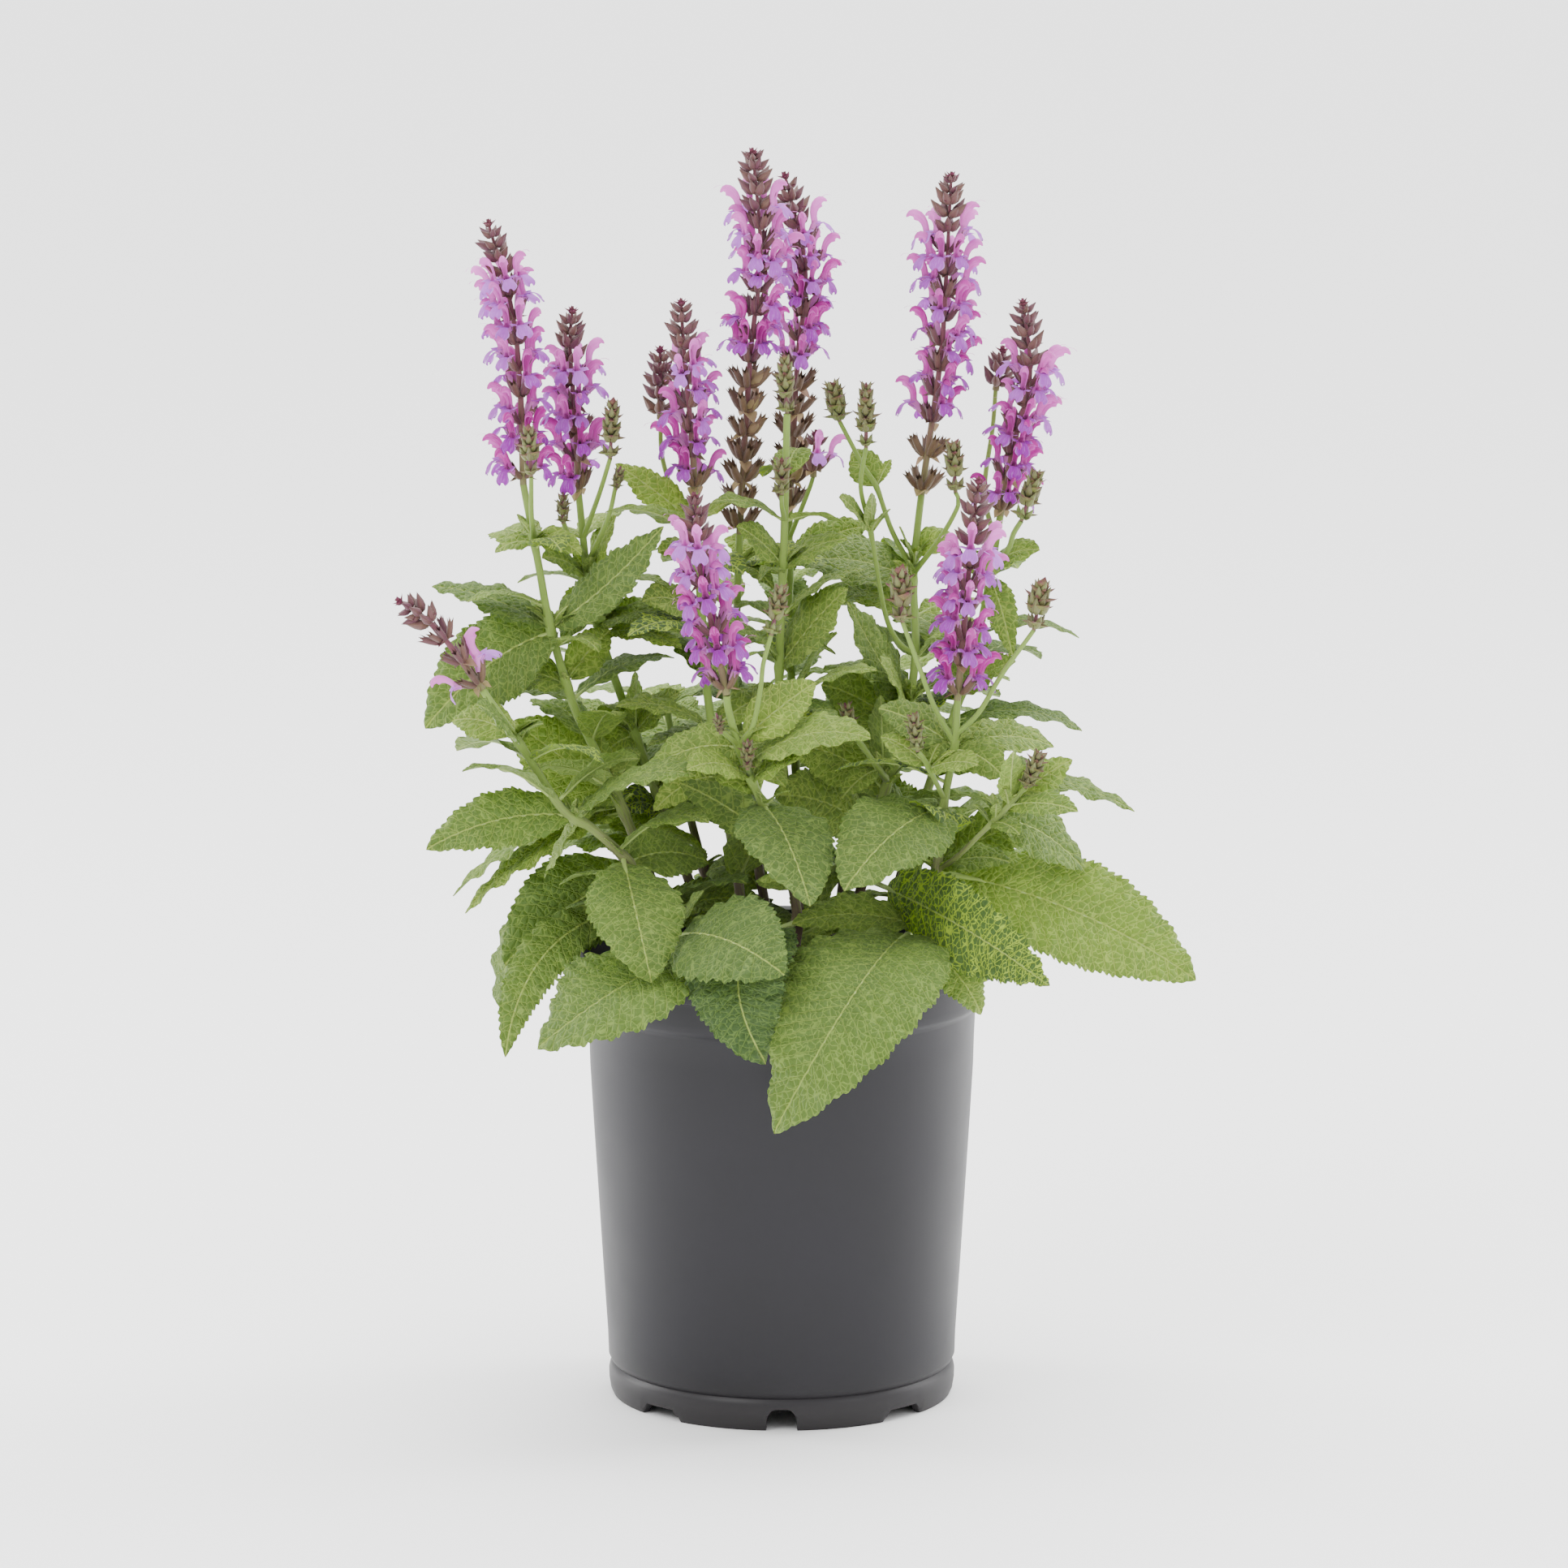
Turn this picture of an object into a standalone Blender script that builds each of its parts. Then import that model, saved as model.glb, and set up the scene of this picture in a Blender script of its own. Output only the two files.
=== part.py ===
"""A perennial salvia in its nursery pot.

The pot stands on z = 0 with its axis on the Z axis, and the plant is seen from -Y.
Lengths are in millimetres until a mesh is made, and metres after that.

A place on the plant is written (u, v, depth). u and v are millimetres right and up on the
upright plane through the pot's axis, as a viewer sees them from VIEW_FAR away and VIEW_TILT
above level. depth is how far the place lies in front of that plane.
"""

import math
import random

import bmesh
import bpy
from mathutils import Quaternion, Vector
from mathutils.bvhtree import BVHTree

MM = 0.001

# Viewer
VIEW_FAR = 3000.0
VIEW_TILT = math.radians(10.3)
VIEW_AIM = Vector((0.9, 0.0, 237.5))

# Pot
POT_HEIGHT = 173.6
RIM_RADIUS = 85.5
RIM_BAND = 6.0
NECK_RADIUS = 77.5
SHOULDER_HEIGHT = 129.0
LEDGE_HEIGHT = 154.5
LEDGE_RADIUS = 74.4
SHOULDER_RADIUS = 73.6
BASE_RADIUS = 67.1
SEAM_HEIGHT = 12.3
FOOT_RADIUS = 65.3
WALL = 1.4
FLOOR_HEIGHT = 9.6
POT_SIDES = 36
NOTCH_WIDTH = 12.0
NOTCH_HEIGHT = 8.6
GAP_HEIGHT = 4.5
GAP_HALF_ANGLE = math.radians(6.0)
DRAIN_RADIUS = 4.5
DRAIN_CIRCLE = 46.0
DRAIN_COUNT = 4

# Soil
SOIL_TOP = 165.0
SOIL_RELIEF = 1.6
SEAT_GAP = 0.3
HOLE_DEPTH = 14.0
HOLE_PLAY = 0.5

# Stems
STEM_STEP = 20.0
STALK_RADIUS = 0.9

# Leaves
BLADE_THICKNESS = 0.72
PETIOLE_HALF_WIDTH = 0.9
PETIOLE_THICKNESS = 1.5
FOLD = 0.2
CROWN = 0.28
TOOTH = 0.05

# Flowers. FLOWER_FORM is outward, sideways and up from the axis for the ridge, the hood's tip,
# the mouth's two corners, the lower lip's two corners and the throat.
FLOWER_REACH = 13.0
WHORL_STEP = 9.8
BUD_STEP = 4.6
SPIKE_FOOT = 0.55
SPIKE_GAP = 0.45
FLOWER_FORM = (
    (6.4, 0.0, 5.8),
    (11.4, 0.0, 5.0),
    (6.4, -2.0, 2.2), (6.4, 2.0, 2.2),
    (9.8, -2.8, -1.6), (9.8, 2.8, -1.6),
    (5.6, 0.0, 2.0),
)


def seen(u, v, depth):
    """The point that a viewer sees at (u, v), depth in front of the upright plane."""
    eye = VIEW_AIM + VIEW_FAR * Vector((0.0, -math.cos(VIEW_TILT), math.sin(VIEW_TILT)))
    share = (eye.y + depth) / eye.y
    return eye + (Vector((u, 0.0, v)) - eye) * share


def plane_place(point):
    """Where a point is seen: its (u, v) on the upright plane."""
    eye = VIEW_AIM + VIEW_FAR * Vector((0.0, -math.cos(VIEW_TILT), math.sin(VIEW_TILT)))
    share = eye.y / (eye.y - point.y)
    place = eye + (point - eye) * share
    return place.x, place.z


def towards_viewer():
    return Vector((0.0, -math.cos(VIEW_TILT), math.sin(VIEW_TILT)))


def smooth_line(points, step):
    """A Catmull-Rom line through the points, with a point about every step."""
    ends = [2 * points[0] - points[1]] + list(points) + [2 * points[-1] - points[-2]]
    line = [points[0].copy()]
    for i in range(len(points) - 1):
        a, b, c, d = ends[i : i + 4]
        count = max(1, round((c - b).length / step))
        for k in range(1, count + 1):
            t = k / count
            line.append(
                0.5
                * (
                    2 * b
                    + (c - a) * t
                    + (2 * a - 5 * b + 4 * c - d) * t * t
                    + (3 * b - a - 3 * c + d) * t ** 3
                )
            )
    return line


# The plant. Each shoot has its place in the soil as (x, y), its route, and its leaves.
# A leaf is (root u, root v, tip u, tip v, tip depth, seen width, turn, arch), and may end with
# a place that its midrib passes. turn is how many degrees its face is rolled to the viewer.
# A stalk is a route that leaves the shoot near its first place.

SHOOTS = {
    "a": dict(
        soil=(-40, -6),
        route=[(-46, 190, 6), (-64, 235, 6), (-80, 270, 8), (-88, 298, 9), (-92, 320, 10), (-98, 353, 10)],
        leaves=[
            (-88, 297, -136, 259, 16, 30, 55, 6),
            (-88, 298, -133, 314, 2, 10, 12, 3),
            (-88, 301, -106, 305, -8, 8, 30, 2),
            (-86, 298, -45, 337, 14, 16, 50, -3),
            (-83, 276, -65, 297, -8, 14, 60, 2),
            (-84, 274, -112, 276, 26, 13, 35, 5),
            (-95, 331, -109, 327, 12, 6, 30, 2),
            (-93, 332, -76, 326, 16, 9, 35, 3),
            (-64, 232, -103, 262, 2, 34, 65, 0),
            (-62, 226, -122, 187, 12, 20, 50, 8),
            (-66, 228, -126, 194, -4, 7, 10, 8),
        ],
        stalks=[[(-94, 332, 10), (-95, 342, 24), (-95, 356, 31)]],
        fill=[(236, 60)],
    ),
    "b": dict(
        soil=(-28, 14),
        route=[(-34, 195, -14), (-48, 235, -15), (-60, 268, -15), (-70, 299, -14), (-74, 320, -13), (-77, 349, -12)],
        leaves=[
            (-75, 316, -91, 325, -2, 9, 35, 3),
            (-75, 313, -84, 300, 6, 9, 40, 2),
            (-71, 318, -63, 341, -8, 10, 45, 2),
            (-70, 299, -41, 303, -2, 9, 20, 3),
            (-69, 295, -38, 290, 6, 8, 20, 4),
            (-69, 297, -47, 306, -28, 10, 50, 3),
            (-50, 258, -74, 240, 2, 18, 50, 4),
            (-50, 259, -56, 281, -12, 9, 50, 1),
            (-50, 259, -39, 273, -8, 9, 50, 2),
        ],
        stalks=[
            [(-74, 333, -12), (-69, 350, 0), (-65, 363, 5)],
            [(-73, 322, -12), (-66, 340, 0), (-63, 352, 2)],
            [(-75, 326, -12), (-81, 334, -1), (-83, 339, 2)],
        ],
        buds=[((-63, 351, 2), (-61, 360, 2), 2.6), ((-83, 338, 2), (-83, 350, 2), 3.2)],
        fill=[(232, 58)],
    ),
    "c": dict(
        soil=(-14, -4),
        route=[(-16, 195, 4), (-22, 232, 2), (-28, 270, -2), (-31, 310, -4), (-33, 350, -5)],
        leaves=[
            (-32, 338, -63, 361, -12, 12, 50, 1),
            (-31, 322, -47, 327, 6, 12, 45, 3),
            (-31, 303, -53, 308, 8, 12, 45, 4),
            (-33, 338, -19, 346, 2, 6, 30, 2),
            (-24, 240, -49, 227, 12, 12, 45, 4),
        ],
        stalks=[[(-31, 322, -4), (-38, 340, -18), (-45, 362, -26), (-46, 378, -27)]],
        fill=[],
    ),
    "d": dict(
        soil=(-3, 16),
        route=[(-8, 200, -18), (-14, 240, -18), (-18, 275, -19), (-17, 305, -20), (-16, 334, -20)],
        leaves=[(-16, 322, -3, 313, -8, 6, 10, 3)],
        fill=[(292, 38), (240, 52)],
    ),
    "e": dict(
        soil=(9, 32),
        route=[(8, 200, -33), (5, 250, -40), (3, 300, -47), (3, 343, -50)],
        leaves=[
            (3, 320, 33, 337, -58, 13, 50, 4),
            (3, 318, -22, 332, -60, 12, 45, 3),
            (4, 273, 21, 296, -30, 9, 30, 2),
        ],
        stalks=[[(4, 333, -49), (10, 350, -42), (12, 356, -39)]],
        fill=[(288, 42), (226, 62)],
    ),
    "f": dict(
        soil=(26, 13),
        route=[(29, 190, -12), (34, 215, -8), (39, 234, -6), (46, 252, -9), (51, 290, -20), (50, 318, -30),
               (53, 349, -38)],
        leaves=[
            (49, 316, 6, 324, -14, 10, 12, 4),
            (51, 326, 65, 334, -20, 9, 40, 2),
            (50, 322, 45, 337, -18, 7, 40, 1),
            (46, 268, 25, 308, -2, 20, 60, -2),
            (46, 266, 38, 284, 8, 12, 50, 2),
            (34, 200, 102, 150, 72, 30, 55, 0, (68, 178, 60)),
            (36, 219, -3, 233, 12, 22, 55, 4),
            (39, 240, 38, 272, 10, 10, 40, 0),
            (38, 236, 2, 252, -8, 22, 55, 5),
            (46, 258, 15, 276, -14, 20, 60, 3),
            (36, 352, 27, 367, -16, 12, 50, 1),
            (34, 334, 22, 348, -10, 10, 50, 2),
            (34, 335, 34, 350, -6, 9, 50, 1),
            (30, 253, 15, 261, 20, 6, 30, 1),
            (37, 243, 23, 232, 16, 8, 30, 2),
        ],
        stalks=[
            [(50, 320, -30), (42, 335, -27), (36, 352, -25), (31, 360, -25), (22, 377, -25)],
            [(51, 288, -20), (44, 293, -18), (39, 305, -17), (34, 334, -16), (30, 352, -16), (32, 367, -16)],
            [(50, 319, -30), (60, 332, -19), (67, 345, -14), (66, 350, -12)],
            [(41, 238, -7), (38, 242, 2), (31, 252, 12), (27, 257, 15)],
        ],
        fill=[(272, 48)],
    ),
    "g": dict(
        soil=(40, 6),
        route=[(44, 195, -8), (54, 230, -13), (67, 268, -20), (76, 300, -23), (83, 341, -25)],
        leaves=[
            (80, 322, 98, 328, -14, 9, 40, 2),
            (79, 318, 88, 287, -8, 11, 45, 3),
            (70, 272, 89, 285, -6, 9, 40, 2),
            (60, 243, 135, 227, -2, 8, 8, 6),
        ],
        stalks=[
            [(81, 330, -24), (77, 350, -38), (80, 375, -45), (81, 389, -46)],
            [(80, 322, -24), (86, 328, -14), (88, 334, -10), (91, 339, -8)],
        ],
        fill=[(276, 46), (214, 64)],
    ),
    "h": dict(
        soil=(4, -24),
        route=[(6, 185, 28), (2, 205, 32), (-7, 229, 40), (-14, 245, 44), (-20, 265, 48), (-21, 272, 50)],
        leaves=[
            (-7, 229, 11, 190, 86, 38, 0, 6),
            (-12, 254, 13, 277, 44, 17, 55, 1),
            (-17, 251, -53, 241, 50, 16, 45, 5),
            (-10, 240, 10, 250, 60, 10, 40, 3),
            (-12, 240, -36, 243, 62, 10, 35, 4),
            (-2, 214, -39, 238, 26, 15, 55, 2),
            (-2, 184, -6, 128, 92, 38, 0, 0, (-16, 165, 88)),
        ],
        stalks=[
            [(-16, 253, 45), (-11, 260, 49), (-8, 275, 52), (-7, 284, 53), (-4, 295, 54)],
            [(-13, 241, 42), (-13, 244, 52)],
            [(-17, 252, 45), (-23, 258, 52)],
        ],
        buds=[((-13, 243, 52), (-13, 255, 52), 3.2), ((-23, 257, 52), (-25, 265, 52), 2.2)],
        fill=[],
    ),
    "i": dict(
        soil=(38, -28),
        route=[(43, 172, 31), (51, 181, 34), (59, 203, 38), (62, 230, 38), (66, 252, 38), (67, 270, 39)],
        leaves=[
            (60, 203, 159, 161, 46, 36, 60, 0, (112, 188, 44)),
            (62, 229, 24, 196, 84, 40, 20, 6),
            (60, 205, 88, 207, 58, 9, 30, 3),
            (66, 252, 104, 252, 30, 12, 30, 4),
            (66, 250, 85, 240, 56, 15, 40, 3),
            (65, 252, 37, 267, 44, 13, 45, 2),
            (50, 179, -3, 101, 100, 40, 0, 0, (30, 159, 91)),
            (51, 177, 77, 147, 84, 16, 30, 0, (66, 165, 74)),
            (51, 183, 4, 192, 56, 16, 40, 4),
            (57, 243, 75, 245, 60, 8, 30, 2),
            (56, 244, 38, 256, 58, 8, 30, 2),
            (87, 229, 113, 227, 64, 9, 35, 2),
            (87, 229, 88, 250, 56, 7, 30, 1),
            (84, 226, 111, 247, 46, 13, 45, 2),
            (80, 222, 91, 218, 62, 10, 20, 2),
            (82, 224, 116, 204, 40, 22, 45, 5),
        ],
        stalks=[
            [(65, 253, 38), (58, 268, 42), (52, 284, 46), (46, 300, 49)],
            [(67, 256, 38), (75, 265, 40), (84, 280, 42), (96, 297, 44)],
            [(62, 231, 38), (55, 246, 48), (52, 250, 51)],
            [(59, 203, 38), (68, 210, 44), (75, 217, 48), (84, 226, 52), (93, 236, 55)],
        ],
        fill=[],
    ),
    "j": dict(
        soil=(-36, -30),
        route=[(-43, 172, 33), (-57, 205, 38), (-72, 220, 41), (-84, 228, 44), (-98, 250, 47), (-114, 274, 50)],
        leaves=[
            (-80, 225, -136, 212, 58, 20, 50, 5),
            (-79, 226, -33, 241, 66, 8, 15, 7),
            (-60, 210, -50, 160, 88, 32, 0, 0, (-56, 188, 72)),
            (-58, 208, -28, 207, 16, 16, 40, 4),
            (-101, 256, -91, 261, 54, 5, 20, 1),
            (-100, 254, -115, 268, 60, 14, 50, 2),
            (-101, 256, -126, 262, 36, 13, 45, 3),
            (-78, 222, -91, 201, 30, 12, 40, 2),
        ],
        fill=[],
    ),
    "k": dict(
        soil=(8, 0),
        route=[(6, 195, 0), (2, 232, 0), (-1, 270, 0), (1, 335, 0), (2, 380, 0)],
        leaves=[
            (0, 322, -17, 337, 8, 12, 45, 2),
            (0, 321, 25, 332, 6, 9, 25, 3),
            (-1, 283, 25, 313, 10, 15, 50, 2),
        ],
        stalks=[[(1, 340, 0), (0, 345, 9), (0, 349, 11)]],
        fill=[],
    ),
    "l": dict(
        soil=(-28, -44),
        route=[(-34, 166, 46), (-42, 180, 48)],
        leaves=[
            (-36, 169, -94, 134, 92, 32, 20, 0, (-62, 158, 84)),
            (-40, 179, 1, 163, 112, 34, 40, 0, (-22, 177, 90)),
            (-42, 179, -30, 196, 54, 8, 30, 1),
        ],
        fill=[],
    ),
    "m": dict(
        soil=(-48, -2),
        route=[(-52, 182, 0), (-58, 200, 0)],
        leaves=[
            (-58, 200, -106, 163, 12, 36, 55, 6),
            (-56, 190, -106, 131, 30, 18, 45, 0, (-90, 172, 26)),
            (-57, 195, -106, 142, -12, 14, 30, 0, (-98, 180, -6)),
        ],
        fill=[(185, 66)],
    ),
    "n": dict(
        soil=(52, 0),
        route=[(55, 180, -2), (60, 205, -4)],
        leaves=[(60, 204, 100, 222, -12, 18, 45, 5)],
        fill=[(196, 68)],
    ),
    "o": dict(
        soil=(-24, 40),
        route=[(-30, 205, -52), (-40, 245, -62), (-44, 268, -66)],
        leaves=[],
        fill=[(266, 44), (234, 60), (196, 76)],
    ),
    "p": dict(
        soil=(22, 50),
        route=[(24, 205, -60), (32, 245, -72), (36, 275, -78)],
        leaves=[],
        fill=[(272, 46), (236, 62), (198, 78)],
    ),
}

# Each spike has its axis from base to tip, then the heights v where its open flowers begin
# and end. Faded whorls lie below the first and buds above the second.
SPIKES = {
    "1": dict(axis=[(-98, 353, 10), (-99, 390, 10), (-102, 420, 10), (-111, 454, 10)], bloom=(360, 436)),
    "2": dict(axis=[(-77, 349, -12), (-78, 375, -12), (-80, 405, -12), (-79, 421, -12)], bloom=(354, 408)),
    "3": dict(axis=[(-33, 350, -5), (-34, 370, -5), (-37, 405, -5), (-38, 424, -5)], bloom=(352, 406)),
    "4": dict(axis=[(-16, 334, -20), (-12, 400, -20), (-8, 440, -20), (-11, 481, -20)], bloom=(404, 462)),
    "5": dict(axis=[(3, 343, -50), (6, 400, -50), (9, 435, -50), (1, 472, -50)], bloom=(404, 460)),
    "6": dict(axis=[(53, 349, -38), (60, 400, -40), (62, 430, -40), (64, 472, -40)], bloom=(386, 456)),
    "7": dict(axis=[(83, 341, -25), (88, 368, -25), (94, 395, -25), (91, 424, -25)], bloom=(352, 408)),
    "8": dict(axis=[(-21, 272, 50), (-25, 292, 50), (-31, 320, 51), (-33, 350, 52)], bloom=(280, 334)),
    "9": dict(axis=[(67, 270, 39), (70, 305, 40), (73, 340, 40), (75, 356, 40)], bloom=(278, 332)),
    "10": dict(axis=[(-114, 274, 50), (-127, 292, 50), (-136, 302, 50), (-147, 309, 50)], bloom=(279, 297)),
    "3_side": dict(axis=[(-46, 378, -27), (-46, 406, -27)], bloom=None),
    "5_side": dict(axis=[(12, 356, -39), (13, 374, -38)], bloom=(362, 368)),
    "7_side": dict(axis=[(81, 389, -46), (84, 406, -46)], bloom=None),
}

# Young spikes still in bud: base and tip of each, and its radius.
BUD_SPIKES = {
    "1": ((-65, 363, 5), (-64, 385, 6), 4.6),
    "2": ((-95, 356, 31), (-96, 375, 31), 4.6),
    "3": ((2, 380, 0), (1, 402, 0), 4.6),
    "4": ((0, 349, 11), (0, 363, 11), 4.4),
    "5": ((22, 377, -25), (19, 392, -25), 5.0),
    "6": ((32, 367, -16), (32, 392, -16), 4.6),
    "7": ((66, 350, -12), (65, 369, -12), 5.0),
    "8": ((46, 300, 49), (45, 320, 49), 5.6),
    "9": ((96, 297, 44), (99, 315, 44), 5.6),
    "10": ((27, 257, 15), (24, 269, 15), 3.8),
    "11": ((52, 250, 51), (50, 265, 51), 3.8),
    "12": ((93, 236, 55), (99, 250, 55), 4.2),
    "13": ((-4, 295, 54), (0, 314, 54), 4.6),
    "14": ((91, 339, -8), (97, 358, -8), 5.0),
}

SEED = 7
LEAF_SIZES = (32.0, 54.0, 82.0, 112.0)
CLEARANCE = 0.7


class Tube:
    """A stem or stalk: its centre line and its radius at both ends."""

    def __init__(self, line, thick, thin):
        self.line = line
        self.thick = thick
        self.thin = thin

    def radius(self, i):
        return self.thick + (self.thin - self.thick) * i / (len(self.line) - 1)

    def nearest(self, u, v):
        """The point of the centre line that is seen nearest to (u, v), and how near."""
        best = None
        for a, b in zip(self.line, self.line[1:]):
            for k in range(17):
                point = a.lerp(b, k / 16)
                x, z = plane_place(point)
                gap = math.hypot(x - u, z - v)
                if best is None or gap < best[1]:
                    best = point, gap
        return best


class Leaf:
    """A leaf: its midrib from root to tip, its width, and how its face is turned."""

    def __init__(self, node, root, middle, tip, width, turn, petiole, seed):
        self.node = node
        self.root = root
        self.middle = middle
        self.tip = tip
        self.width = width
        self.turn = turn
        self.petiole = petiole
        self.seed = seed
        draw = random.Random(seed)
        self.wave = draw.uniform(0.5, 1.0) * (1 if draw.random() < 0.5 else -1)
        self.phase = draw.uniform(0.0, math.tau)

    def length(self):
        return (self.middle - self.root).length + (self.tip - self.middle).length

    def midrib(self, t):
        """The midrib's point and direction at t, from 0 at the root to 1 at the tip."""
        bend = 2 * self.middle - (self.root + self.tip) / 2
        point = (1 - t) ** 2 * self.root + 2 * t * (1 - t) * bend + t * t * self.tip
        way = 2 * (1 - t) * (bend - self.root) + 2 * t * (self.tip - bend)
        return point, way.normalized()

    def frame(self, t):
        """The point, the way along, the way across and the face's normal at t."""
        point, along = self.midrib(t)
        chord = (self.tip - self.root).normalized()
        level = chord.cross(Vector((0, 0, 1)))
        if level.length < 0.05:
            level = Vector((1, 0, 0))
        level.normalize()
        up = level.cross(chord).normalized()
        side = level if level.dot(towards_viewer()) >= 0 else -level
        angle = math.radians(self.turn)
        face = up * math.cos(angle) + side * math.sin(angle)
        across = along.cross(face).normalized()
        normal = across.cross(along).normalized()
        return point, along, across, normal

    def half_width(self, t):
        """The blade's half width at t, without teeth."""
        if t <= self.petiole:
            return PETIOLE_HALF_WIDTH
        s = min(1.0, (t - self.petiole) / (1 - self.petiole))
        bulge = max(0.0, math.sin(math.pi * s ** 0.7)) ** 0.82
        return max(PETIOLE_HALF_WIDTH * (1 - s), self.width / 2 * bulge)

    def surface(self, t, x, tooth=0.0):
        """A point of the blade's mid surface at t, x from -1 at one edge to 1 at the other."""
        point, along, across, normal = self.frame(t)
        half = self.half_width(t)
        if t > self.petiole:
            half *= 1 + tooth
        bend = FOLD * abs(x) - CROWN * x * x * 0.6
        ripple = 0.035 * self.wave * math.sin(9.0 * t + self.phase + 1.3 * x) * x * x
        lift = half * (bend + ripple * 2)
        return point + across * (x * half) + normal * lift, normal


def seen_share(leaf):
    """How much of the blade's width the viewer sees, from 0 to 1."""
    _, along, across, _ = leaf.frame(0.55)
    sight = towards_viewer()
    flat_along = along - sight * along.dot(sight)
    flat_across = across - sight * across.dot(sight)
    if flat_along.length < 0.2:
        return max(0.5, flat_across.length)
    flat_along.normalize()
    return (flat_across - flat_along * flat_across.dot(flat_along)).length


def make_tubes(shoot):
    """The stem and stalks of one shoot."""
    x, y = shoot["soil"]
    foot = [Vector((x, y, SOIL_TOP - HOLE_DEPTH + 1.5)), Vector((x, y, SOIL_TOP + 3.0))]
    route = foot + [seen(*place) for place in shoot["route"]]
    tubes = [Tube(smooth_line(route, STEM_STEP), 2.3, 1.45)]
    for places in shoot.get("stalks", []):
        u, v, _ = places[0]
        start, _ = min((t.nearest(u, v) for t in tubes), key=lambda found: found[1])
        route = [start] + [seen(*place) for place in places[1:]]
        tubes.append(Tube(smooth_line(route, STEM_STEP), STALK_RADIUS * 1.25, STALK_RADIUS))
    return tubes


def visible_leaf(node, row, tubes, seed):
    """A leaf from its row in the table."""
    u, v, tip_u, tip_v, depth, width, turn, arch = row[:8]
    root, _ = min((t.nearest(u, v) for t in tubes), key=lambda found: found[1])
    tip = seen(tip_u, tip_v, depth)
    middle = (root + tip) / 2 + Vector((0, 0, arch))
    petiole = 0.1
    if len(row) > 8:
        middle = seen(*row[8])
        petiole = 0.16
    leaf = Leaf(node, root, middle, tip, width, turn, petiole, seed)
    share = seen_share(leaf)
    leaf.width = min(1.1 * width / max(share, 0.3), 0.64 * leaf.length())
    return leaf


def fill_leaves(node, shoot, tubes, draw):
    """Pairs of leaves, each pair a quarter turn from the last, that point back and sideways."""
    leaves = []
    start = draw.uniform(0.0, math.pi)
    for i, (height, length) in enumerate(shoot["fill"]):
        line = tubes[0].line
        root = min(line, key=lambda p: abs(p.z - height))
        for k in range(2):
            angle = start + math.pi / 2 * i + math.pi * k + draw.uniform(-0.3, 0.3)
            outward = Vector((math.cos(angle), math.sin(angle), 0.0))
            if outward.y < -0.1:
                outward.y = -outward.y
            size = length * draw.uniform(0.88, 1.1)
            rise = draw.uniform(-0.12, 0.3)
            tip = root + outward * size + Vector((0, 0, rise * size))
            middle = (root + tip) / 2 + Vector((0, 0, 0.14 * size))
            turn = draw.uniform(-18, 18)
            leaves.append(Leaf(node, root, middle, tip, size * 0.46, turn, 0.12, draw.randrange(10 ** 6)))
    return leaves


def tube_rings(line, radii, sides, turn=0.0):
    """Rings of points round a line, without twist."""
    rings = []
    along = (line[1] - line[0]).normalized()
    side = along.orthogonal().normalized()
    for i, centre in enumerate(line):
        before = line[max(i - 1, 0)]
        after = line[min(i + 1, len(line) - 1)]
        way = (after - before).normalized()
        side = (side - way * side.dot(way)).normalized()
        ring = []
        for k in range(sides):
            spin = Quaternion(way, math.tau * k / sides + turn)
            ring.append(centre + spin @ side * radii[i])
        rings.append(ring)
    return rings


def rings_mesh(rings):
    """Points and faces of a closed tube through rings of equal count."""
    sides = len(rings[0])
    points = [p for ring in rings for p in ring]
    faces = [tuple(range(sides))[::-1]]
    for i in range(len(rings) - 1):
        for k in range(sides):
            a = i * sides + k
            b = i * sides + (k + 1) % sides
            faces.append((a, b, b + sides, a + sides))
    last = (len(rings) - 1) * sides
    faces.append(tuple(range(last, last + sides)))
    return points, faces


def blade_count(leaf):
    """How many places across the blade's length its solid has."""
    return sum(leaf.length() > size for size in LEAF_SIZES) + 1


def blade_stations(leaf, count):
    """Places along the midrib from the root and the blade's start to near the tip."""
    stations = [0.0, leaf.petiole]
    for k in range(1, count + 1):
        stations.append(leaf.petiole + (1 - leaf.petiole) * (k / (count + 0.45)) ** 1.05)
    return stations + [1.0]


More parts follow.
